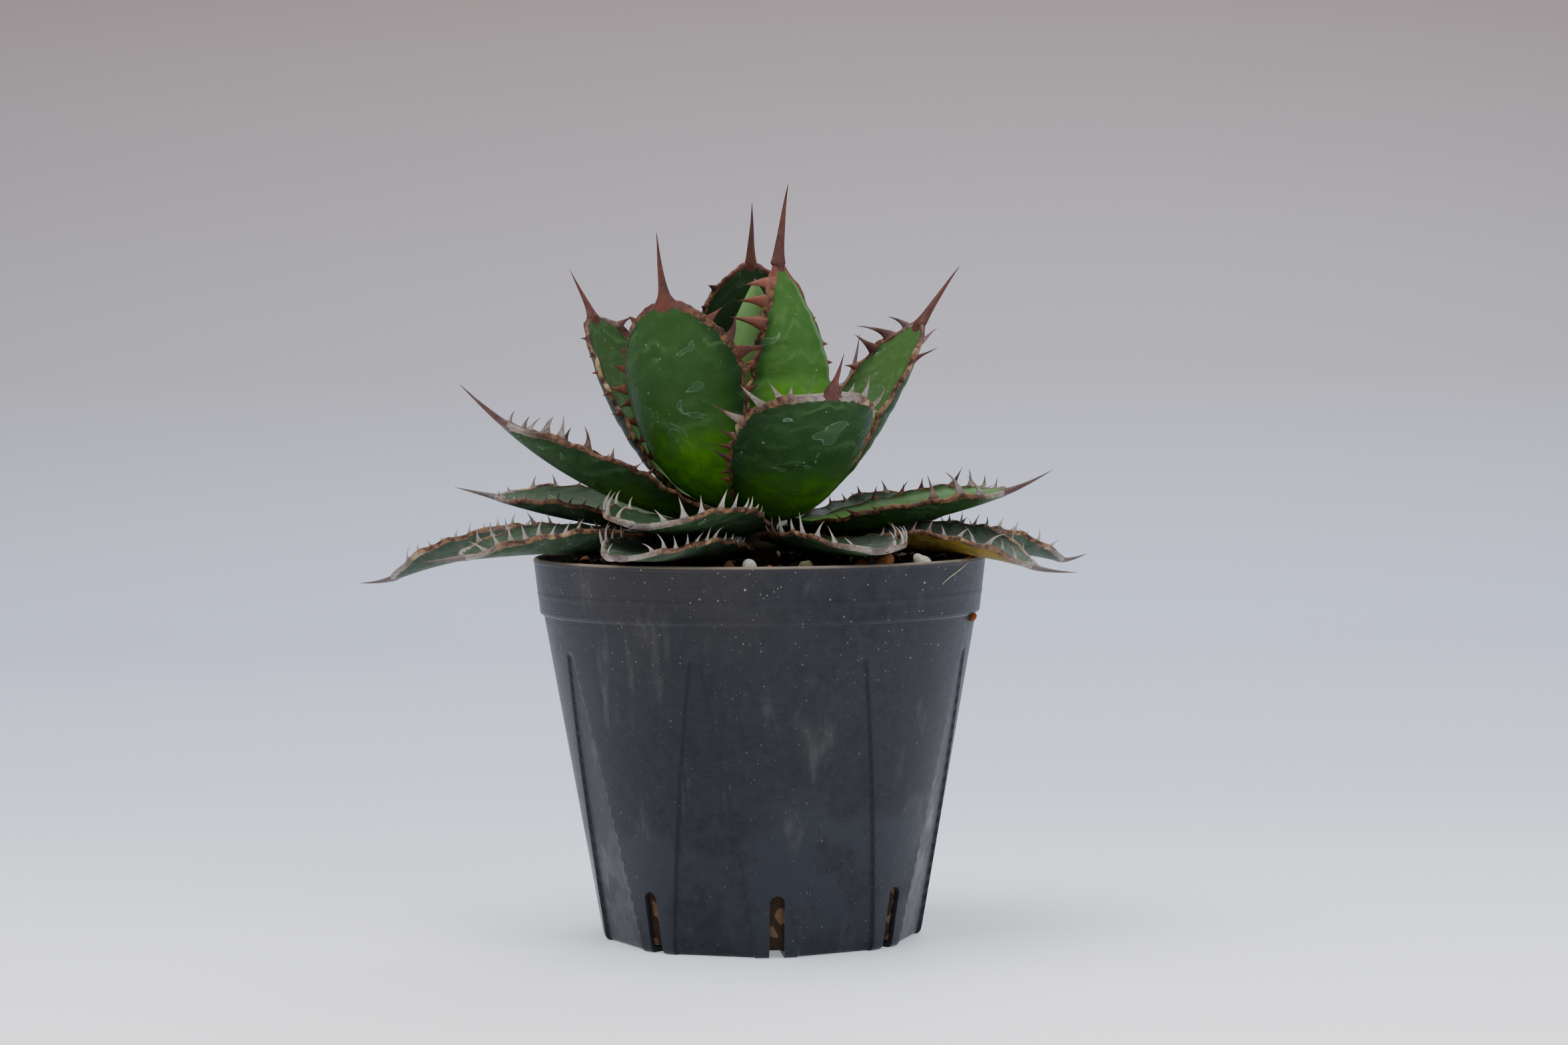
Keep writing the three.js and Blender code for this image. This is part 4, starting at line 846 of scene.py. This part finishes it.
def bodyRadius(azimuth, z):
    # a cone; inside a panel's two slanting edges the wall is a flat chord, sunk by half the depth at
    # the apex and by all of it at the foot
    rise = (z - pot["foot"]) / (pot["collarFoot"] - pot["foot"])
    cone = pot["corner"] + (pot["collarRadius"] - pot["step"] - pot["corner"]) * rise
    down = np.clip((panel["apex"] - z) / (panel["apex"] - pot["foot"]), 0, 1)
    edge = panel["tipAngle"] + (panel["halfAngle"] - panel["tipAngle"]) * down
    turn = (azimuth - panel["middle"] + pitch / 2) % pitch - pitch / 2
    flat = (cone * np.cos(edge * deg) - panel["depth"] * (0.5 + 0.5 * down)) / np.cos(turn * deg)
    inside = smoothStep((edge + panel["edge"] - np.abs(turn)) / panel["edge"]) * (down > 0)
    return cone + (flat - cone) * inside


def collarRadius(z):
    rise = (z - pot["collarFoot"]) / (pot["height"] - pot["collarFoot"])
    return pot["collarRadius"] + (pot["rim"] - pot["collarRadius"]) * rise


def potShape():
    # outside from the foot up, over the lip, down inside: (height, radius at each azimuth)
    azimuth = np.arange(pot["columns"]) * 360 / pot["columns"]
    wall, top, low, foot = pot["wall"], pot["height"], pot["collarFoot"], pot["foot"]
    footWall = bodyRadius(azimuth, foot)
    rows = [(0.0, footWall - 1.9), (0.0, footWall - 1.3), (0.25, footWall - 0.7), (0.8, footWall - 0.25),
            (foot, footWall)]
    rows += [(z, bodyRadius(azimuth, z)) for z in np.linspace(foot, low - 0.5, 90)[1:]]
    rows += [(low - 0.2, collarRadius(low) - 0.45), (low, collarRadius(low) - 0.12),
             (low + 0.25, collarRadius(low))]
    # a faint ridge runs round the collar
    for z in np.linspace(low + 0.6, top - 0.95, 26):
        rows.append((z, collarRadius(z) + 0.1 * np.exp(-((z - low - pot["ridge"]) / 0.35) ** 2)))
    # the lip: a small bead, rolled outward
    for turn in np.linspace(0, 180, 11) * deg:
        rows.append((top - 0.75 + 0.75 * np.sin(turn), collarRadius(top) - 0.62 + 0.62 * np.cos(turn)))
    rows += [(top - 1.2, collarRadius(top) - wall - 0.25)]
    rows += [(z, collarRadius(z) - wall) for z in np.linspace(top - 2, low + wall, 6)]
    rows += [(z, bodyRadius(azimuth, z) - wall) for z in np.linspace(low - 0.5, foot, 30)]
    rows += [(pot["floor"], footWall - wall - 0.8)]
    # the base's underside and the floor's top run in to a middle point each
    middles = [[0, 0, 0], [0, 0, pot["floor"]]]
    points = np.concatenate([polar(radius, azimuth, z) for z, radius in rows] + [middles])
    return points, ballFaces(len(rows), pot["columns"])


def slitCutter(azimuth):
    # an upright slot with a rounded top, drawn out along the azimuth
    half, high = slit["width"] / 2, slit["height"]
    turn = np.linspace(0, np.pi, 17)
    x = np.concatenate([[-half, half], half * np.cos(turn)])[:, None]
    z = np.concatenate([[-1, -1], high - half + half * np.sin(turn)])
    aside = np.array([[np.cos(azimuth * deg), np.sin(azimuth * deg), 0]])
    ends = [polar(reach, azimuth, z) + x * aside for reach in (slit["inner"], slit["outer"])]
    return np.concatenate(ends), tubeFaces(2, len(z)), {}


def carve(piece, cutter):
    # cuts the slits out and leaves a plain mesh
    cut = piece.modifiers.new("slits", "BOOLEAN")
    cut.object, cut.operation, cut.solver = cutter, "DIFFERENCE", "EXACT"
    bpy.context.view_layer.update()
    carved = bpy.data.meshes.new_from_object(piece.evaluated_get(bpy.context.evaluated_depsgraph_get()))
    piece.modifiers.clear()
    piece.data = carved
    bpy.data.objects.remove(cutter)
    carved.set_sharp_from_angle(angle=35 * deg)
    return carved


def makePotSkin():
    # matt charcoal plastic, hazed brown-grey; ragged damp blotches low down, dried drips and specks
    material = newMaterial("potSkin", specular=0.16)
    spot = objectPlace(material)
    split = put("ShaderNodeSeparateXYZ", {0: spot})
    height = split[2] * (1 / mm)
    slow = noise(spot, 22.0, 5.0, 0.6)
    fine = noise(spot, 420.0, 4.0, 0.65)
    drips = noise(stretched(spot, 0.25), 130.0, 4.0, 0.6, 0.3)
    base = blend(spread(fine, 0.3, 0.7), (0.007, 0.008, 0.012), (0.019, 0.020, 0.026))
    haze = spread(height, 20.0, 88.0) * spread(slow, 0.35, 0.7)
    base = blend(haze * 0.5, base, (0.046, 0.041, 0.039))
    # damp: where height falls below a ragged line the wall turns darker, bluer and smoother
    damp = soft(height + (slow - 0.5) * -95.0, 24.0, 33.0, 1.0, 0.0)
    damp = damp * soft(noise(spot, 60.0, 5.0, 0.7), 0.4, 0.55)
    base = blend(damp * 0.75, base, (0.020, 0.023, 0.031))
    # a dark seam of shade and dirt along the panels' slanting edges
    around = calc("ARCTAN2", split[0], split[1] * -1.0) * (1 / deg)
    turn = calc("WRAP", around - panel["middle"], pitch / 2, -pitch / 2)
    edge = spread(height, panel["apex"], pot["foot"], panel["tipAngle"] + 0.3, panel["halfAngle"] + 0.3)
    seam = spread(abs(abs(turn) - edge), 0.15, 0.7, 0.8, 0.0) * (height < panel["apex"])
    base = blend(seam, base, (0.006, 0.007, 0.010))
    base = blend(soft(drips, 0.56, 0.8) * 0.28, base, (0.15, 0.145, 0.14))
    kinds = ((1300.0, 0.16, 0.22, 0.6), (600.0, 0.08, 0.15, 0.7), (240.0, 0.03, 0.08, 0.8))
    base = dusted(base, spot, (0.36, 0.35, 0.33), kinds, spread(height, 55.0, 82.0, 0.25, 1.0))
    # the lip is worn and dusty
    lip = spread(height, 87.8, 88.1) * spread(slow, 0.35, 0.6, 0.45, 0.85)
    base = blend(lip, base, (0.21, 0.17, 0.13))
    rough = spread(fine, 0.3, 0.7, 0.42, 0.56) - damp * 0.12
    inputs = {"Base Color": base, "Roughness": rough, "Sheen Weight": 0.08, "Sheen Roughness": 0.5}
    return dress(material, inputs, fine + calc("SINE", height * 9.0) * 0.05, 0.00012, 0.8)


points, faces = potShape()
potPiece = makePiece("pot_wall", points, faces, makePotSkin(), ["pot"])
points, faces, _ = join([slitCutter(slit["first"] + pitch * k) for k in range(panel["count"])])
carved = carve(potPiece, addObject("slits", meshOf("slits", points, pointOut(points, faces))))
print("pot made:", len(carved.polygons), "faces")


def strand(points, radius, around=8):
    # a round thread through the points, thinning to both ends
    line = np.gradient(points, axis=0)
    line /= np.linalg.norm(line, axis=1, keepdims=True)
    wide = np.cross(line, [0.3, 0.2, 0.93])
    wide /= np.linalg.norm(wide, axis=1, keepdims=True)
    high = np.cross(line, wide)
    turn = (np.arange(around) * 2 * np.pi / around)[:, None]
    size = (radius * np.sqrt(np.sin(np.linspace(0.03, 0.97, len(points)) * np.pi)))[:, None, None]
    ring = points[:, None] + size * (np.cos(turn) * wide[:, None] + np.sin(turn) * high[:, None])
    return ring.reshape(-1, 3), tubeFaces(len(points), around)


# a pale root hair that lies over the lip and down the collar at the right
material = newMaterial("hairSkin", 0.7, 0.2)
fibre = noise(objectPlace(material), 700.0)
dress(material, {"Base Color": blend(fibre, (0.30, 0.25, 0.18), (0.52, 0.45, 0.34))})
run = np.linspace(0, 1, 40)
height = 87.4 - 4.2 * run + 0.5 * np.sin(run * np.pi)
azimuth = 63.0 - 10.5 * run + 0.8 * np.sin(run * 5)
points, faces = strand(polar(collarRadius(height) + 0.08, azimuth, height), 0.13)
makePiece("root_hair", points, faces, material, [])


# ---- soil: a lumpy bed under loose grains, with five bigger chips lying at the front

soil = {"top": 85.4, "lump": 0.9, "hole": 4.9, "holeFloor": 72.0, "inset": 1.4, "foot": 1.7,
        "columns": 360}


def soilHeight(radius, azimuth):
    x, y = radius * np.sin(azimuth * deg), radius * np.cos(azimuth * deg)
    lumps = np.sin(x * 1.3 + 2 * np.sin(y * 0.7)) * np.cos(y * 1.1 + np.sin(x * 0.9))
    return soil["top"] + soil["lump"] * 0.5 * lumps


def soilShape():
    # up the stem's hole, out over the bed, which is roughened by finer sines, and down the pot's inside
    azimuth = np.arange(soil["columns"])[None, :] * 360 / soil["columns"]
    ring = np.linspace(soil["hole"], collarRadius(soil["top"]) - soil["inset"], 90)[:, None]
    grain = 0.22 * np.sin(ring * 3.1 + azimuth * 0.9) * np.sin(ring * azimuth * 0.05 + ring * 2.3)
    bed = polar(ring, azimuth, soilHeight(ring, azimuth) + grain * (ring > 6) * (ring < 49))
    z = np.linspace(pot["collarFoot"] - 0.5, soil["foot"], 60)[:, None]
    side = polar(bodyRadius(azimuth, np.maximum(z, pot["foot"])) - soil["inset"], azimuth, z)
    rings = np.concatenate([polar(soil["hole"], azimuth, soil["holeFloor"]), bed, side])
    return rings.reshape(-1, 3), tubeFaces(len(rings), soil["columns"])


def makeSoilSkin():
    material = newMaterial("soilSkin", 0.95, 0.2)
    spot = objectPlace(material)
    clods = put("ShaderNodeTexVoronoi", {"Vector": spot, "Scale": 420.0})
    grain = noise(spot, 900.0, 5.0, 0.7)
    peat = blend(grain, (0.010, 0.006, 0.004), (0.075, 0.045, 0.026))
    tint = put("ShaderNodeSeparateColor", {0: clods["Color"]})
    peat = blend(tint > 0.86, peat, (0.16, 0.10, 0.055))
    return dress(material, {"Base Color": peat}, grain + clods["Distance"] * -0.8, 0.0012)


points, faces = soilShape()
makePiece("soil_bed", points, faces, makeSoilSkin(), ["soil"])


def stone(rng, size, place, rings=5, columns=8, rough=0.18):
    # a ball squashed to size, dented by a few random waves and turned at random
    v = np.linspace(-1, 1, rings + 2)[1:-1, None] * np.pi / 2
    u = np.arange(columns)[None, :] * 2 * np.pi / columns
    ball = np.stack([np.cos(v) * np.cos(u), np.cos(v) * np.sin(u), np.sin(v) + 0 * u], -1).reshape(-1, 3)
    ball = np.concatenate([ball, [[0, 0, -1], [0, 0, 1]]])
    dent = 1 + rough * sum(np.sin(ball @ rng.normal(0, 2.2, 3) + rng.uniform(0, 6)) for _ in range(3)) / 1.5
    turn = np.array(Euler(rng.uniform(0, 6.28, 3)).to_matrix())
    return (ball * dent[:, None] * np.array(size)) @ turn.T + place, ballFaces(rings, columns)


# size, radius, azimuth, height and kind of the few grains that the photo shows one by one: clay crumbs
# and a husk sliver behind the lip, and a bit of husk stuck under the collar
placedGrains = [((1.2, 0.9, 0.8), 47.6, 2.6, 87.4, 0.92), ((0.9, 0.8, 0.7), 47.8, 4.6, 87.2, 0.92),
                ((1.1, 0.9, 0.7), 47.2, -6.2, 87.3, 0.7), ((0.8, 0.7, 0.6), 47.6, 31.0, 87.2, 0.92),
                ((1.9, 0.35, 0.3), 47.4, 11.0, 87.7, 0.55), ((1.2, 0.9, 0.6), 50.8, 73.0, 74.7, 0.92)]


def looseGrains(rng, count):
    # grains strewn evenly over the bed; kind, from 0 to 1, picks peat, fibre, bark, grit, clay or pumice
    parts = []
    for _ in range(count):
        radius = 8 + 42.2 * np.sqrt(rng.uniform(0, 1))
        azimuth = rng.uniform(0, 360)
        kind = rng.uniform()
        long = rng.uniform(0.6, 1.6) * (1.6 if kind > 0.82 else 1)
        size = (long, long * rng.uniform(0.5, 0.9), long * rng.uniform(0.35, 0.7))
        if 0.5 < kind < 0.62:
            size = (rng.uniform(1.6, 3.4), 0.22, 0.18)         # a fibre
        radius = min(radius, collarRadius(86) - soil["inset"] - 0.6 * size[0])
        spot = polar(radius, azimuth, soilHeight(radius, azimuth) + 0.25 * size[1])
        points, faces = stone(rng, size, spot, 3, 6, 0.2)
        points[:, 2] = np.minimum(points[:, 2], pot["height"] - 0.4)
        parts.append((points, faces, {"kind": kind}))
    for size, radius, azimuth, height, kind in placedGrains:
        parts.append((*stone(rng, size, polar(radius, azimuth, height), 5, 9, 0.15), {"kind": kind}))
    return join(parts)


def makeGrainSkin():
    # tint by kind: peat, tan fibre, bark, grey grit, orange clay, white pumice
    material = newMaterial("grainSkin", 0.9, 0.2)
    kind = attributes(material, "kind")[0]
    grain = noise(objectPlace(material), 1100.0, 4.0, 0.65)
    colour = blend(grain, (0.012, 0.007, 0.005), (0.05, 0.028, 0.016))
    tints = ((0.5, (0.20, 0.12, 0.055)), (0.62, (0.060, 0.026, 0.014)), (0.82, (0.10, 0.09, 0.075)),
             (0.90, (0.24, 0.075, 0.025)), (0.965, (0.50, 0.45, 0.37)))
    for level, tint in tints:
        colour = blend(kind > level, colour, tint)
    shade = spread(grain, 0.3, 0.7, 0.6, 1.15)
    shade = put("ShaderNodeCombineColor", {0: shade, 1: shade, 2: shade})
    return dress(material, {"Base Color": blend(1.0, colour, shade, "MULTIPLY")}, grain, 0.0005)


points, faces, marks = looseGrains(np.random.default_rng(7), 1500)
makePiece("soil_grains", points, faces, makeGrainSkin(), [], marks=marks)

chips = [
    {"name": "pumice_chip_front", "azimuth": -3, "radius": 46.2, "size": (2.3, 1.7, 1.5), "slot": "pumice",
     "dark": (0.42, 0.38, 0.31), "light": (0.72, 0.68, 0.60)},
    {"name": "bark_chip_front", "azimuth": -8.6, "radius": 46.3, "size": (2.2, 1.4, 1.2), "slot": "bark",
     "dark": (0.05, 0.025, 0.012), "light": (0.16, 0.085, 0.045)},
    {"name": "clay_chip_front", "azimuth": 13, "radius": 46.0, "size": (2.2, 1.6, 1.4), "slot": "clay",
     "dark": (0.09, 0.08, 0.05), "light": (0.20, 0.17, 0.10)},
    {"name": "clay_chip_right", "azimuth": 37, "radius": 45.6, "size": (3.1, 2.2, 1.9), "slot": "clay",
     "dark": (0.26, 0.095, 0.032), "light": (0.52, 0.24, 0.09)},
    {"name": "pumice_chip_right", "azimuth": 52, "radius": 46.4, "size": (2.5, 1.9, 1.5), "slot": "pumice",
     "dark": (0.45, 0.40, 0.31), "light": (0.74, 0.70, 0.60)},
]
for chip in chips:
    material = newMaterial(chip["name"] + "Skin", 0.92, 0.2)
    grain = noise(objectPlace(material), 800.0, 5.0, 0.7)
    dress(material, {"Base Color": blend(grain, chip["dark"], chip["light"])}, grain, 0.0008)
    spot = polar(chip["radius"], chip["azimuth"], soil["top"] + 0.75 + chip["size"][2])
    rng = np.random.default_rng(len(chip["name"]) + int(chip["radius"] * 10))
    points, faces = stone(rng, chip["size"], spot, 24, 40, 0.12)
    makePiece(chip["name"] + "_stone", points, faces, material, [chip["name"]])
print("soil made")


# ---- the photo's stage: a pale sweep behind and below, soft light from above

room = {"half": 3000, "front": -2500, "bend": 900, "radius": 500, "top": 3000}
view = {"place": (0, -0.851, 0.1305), "sensor": 36.0, "lens": 84.15, "pan": -0.385, "tilt": 87.68,
        "roll": -0.4}


def makeStageSkin():
    # painted light and shade: nearly white and bluish near the camera, where it also glows, darker up the
    # back, and warm grey at the top
    material = newMaterial("stageSkin", 0.55, 0.25)
    split = put("ShaderNodeSeparateXYZ", {0: objectPlace(material)})
    colour = blend(spread(split[1], -0.15, 0.35), (0.92, 0.925, 0.95), (0.68, 0.74, 0.93))
    colour = blend(spread(split[1], 0.35, 1.05), colour, (0.61, 0.665, 0.83))
    colour = blend(spread(split[2], 0.01, 0.13), colour, (0.437, 0.42, 0.456))
    colour = blend(spread(split[2], 0.13, 0.38), colour, (0.285, 0.230, 0.218))
    # the emission is a painted glow on the floor near the camera, fading toward the back
    return dress(material, {"Base Color": colour, "Emission Color": (0.92, 0.95, 1.0),
                            "Emission Strength": soft(split[1], -0.3, 0.35, 0.5, 0.0)})


def sweepShape(columns=5):
    # floor, a quarter turn and a wall
    turn = np.linspace(0, 90, 25) * deg
    reach, bend = room["radius"], room["bend"]
    y = np.concatenate([[room["front"]], bend + reach * np.sin(turn), [bend + reach]])[:, None]
    z = np.concatenate([[0.0], reach - reach * np.cos(turn), [room["top"]]])[:, None]
    x = np.linspace(-room["half"], room["half"], columns)[None, :]
    points = np.stack(np.broadcast_arrays(x, y, z), -1).reshape(-1, 3)
    return points, gridFaces(len(y), columns).tolist()


mesh = meshOf("sweep", *sweepShape())
mesh.shade_smooth()
mesh.materials.append(makeStageSkin())
sweep = addObject("sweep", mesh)

world = bpy.data.worlds.new("room")
world.use_nodes = True
fill(world.node_tree.nodes["Background"], {0: (0.80, 0.84, 0.92), 1: 0.5})
bpy.context.scene.world = world
# name, place, what it aims at, size, power and tint
lamps = [("keyLamp", (-0.35, -0.15, 1.5), (0, 0.02, 0.1), 1.1, 25.0, (1.0, 0.98, 0.96)),
         ("fillLamp", (0.9, -1.0, 0.9), (0, 0, 0.1), 0.9, 8.0, (0.93, 0.96, 1.0)),
         ("backLamp", (0.4, 1.0, 1.2), (0, 0, 0.1), 0.8, 10.0, (0.95, 0.97, 1.0))]
for name, at, target, size, power, tint in lamps:
    data = bpy.data.lights.new(name, "AREA")
    data.size, data.energy, data.color = size, power, tint
    lamp = addObject(name, data)
    lamp.location = at
    aim = np.array(target) - np.array(at)
    lamp.rotation_euler = Vector(aim).to_track_quat("-Z", "Y").to_euler()

cameraData = bpy.data.cameras.new("photo")
cameraData.sensor_width, cameraData.lens = view["sensor"], view["lens"]
cameraData.clip_start, cameraData.clip_end = 0.05, 20.0
camera = addObject("photo", cameraData)
camera.location = view["place"]
turned = Matrix.Identity(3)
for angle, axis in ((view["pan"], "Z"), (view["tilt"], "X"), (view["roll"], "Z")):
    turned = turned @ Matrix.Rotation(angle * deg, 3, axis)
camera.rotation_euler = turned.to_euler()
bpy.context.scene.camera = camera
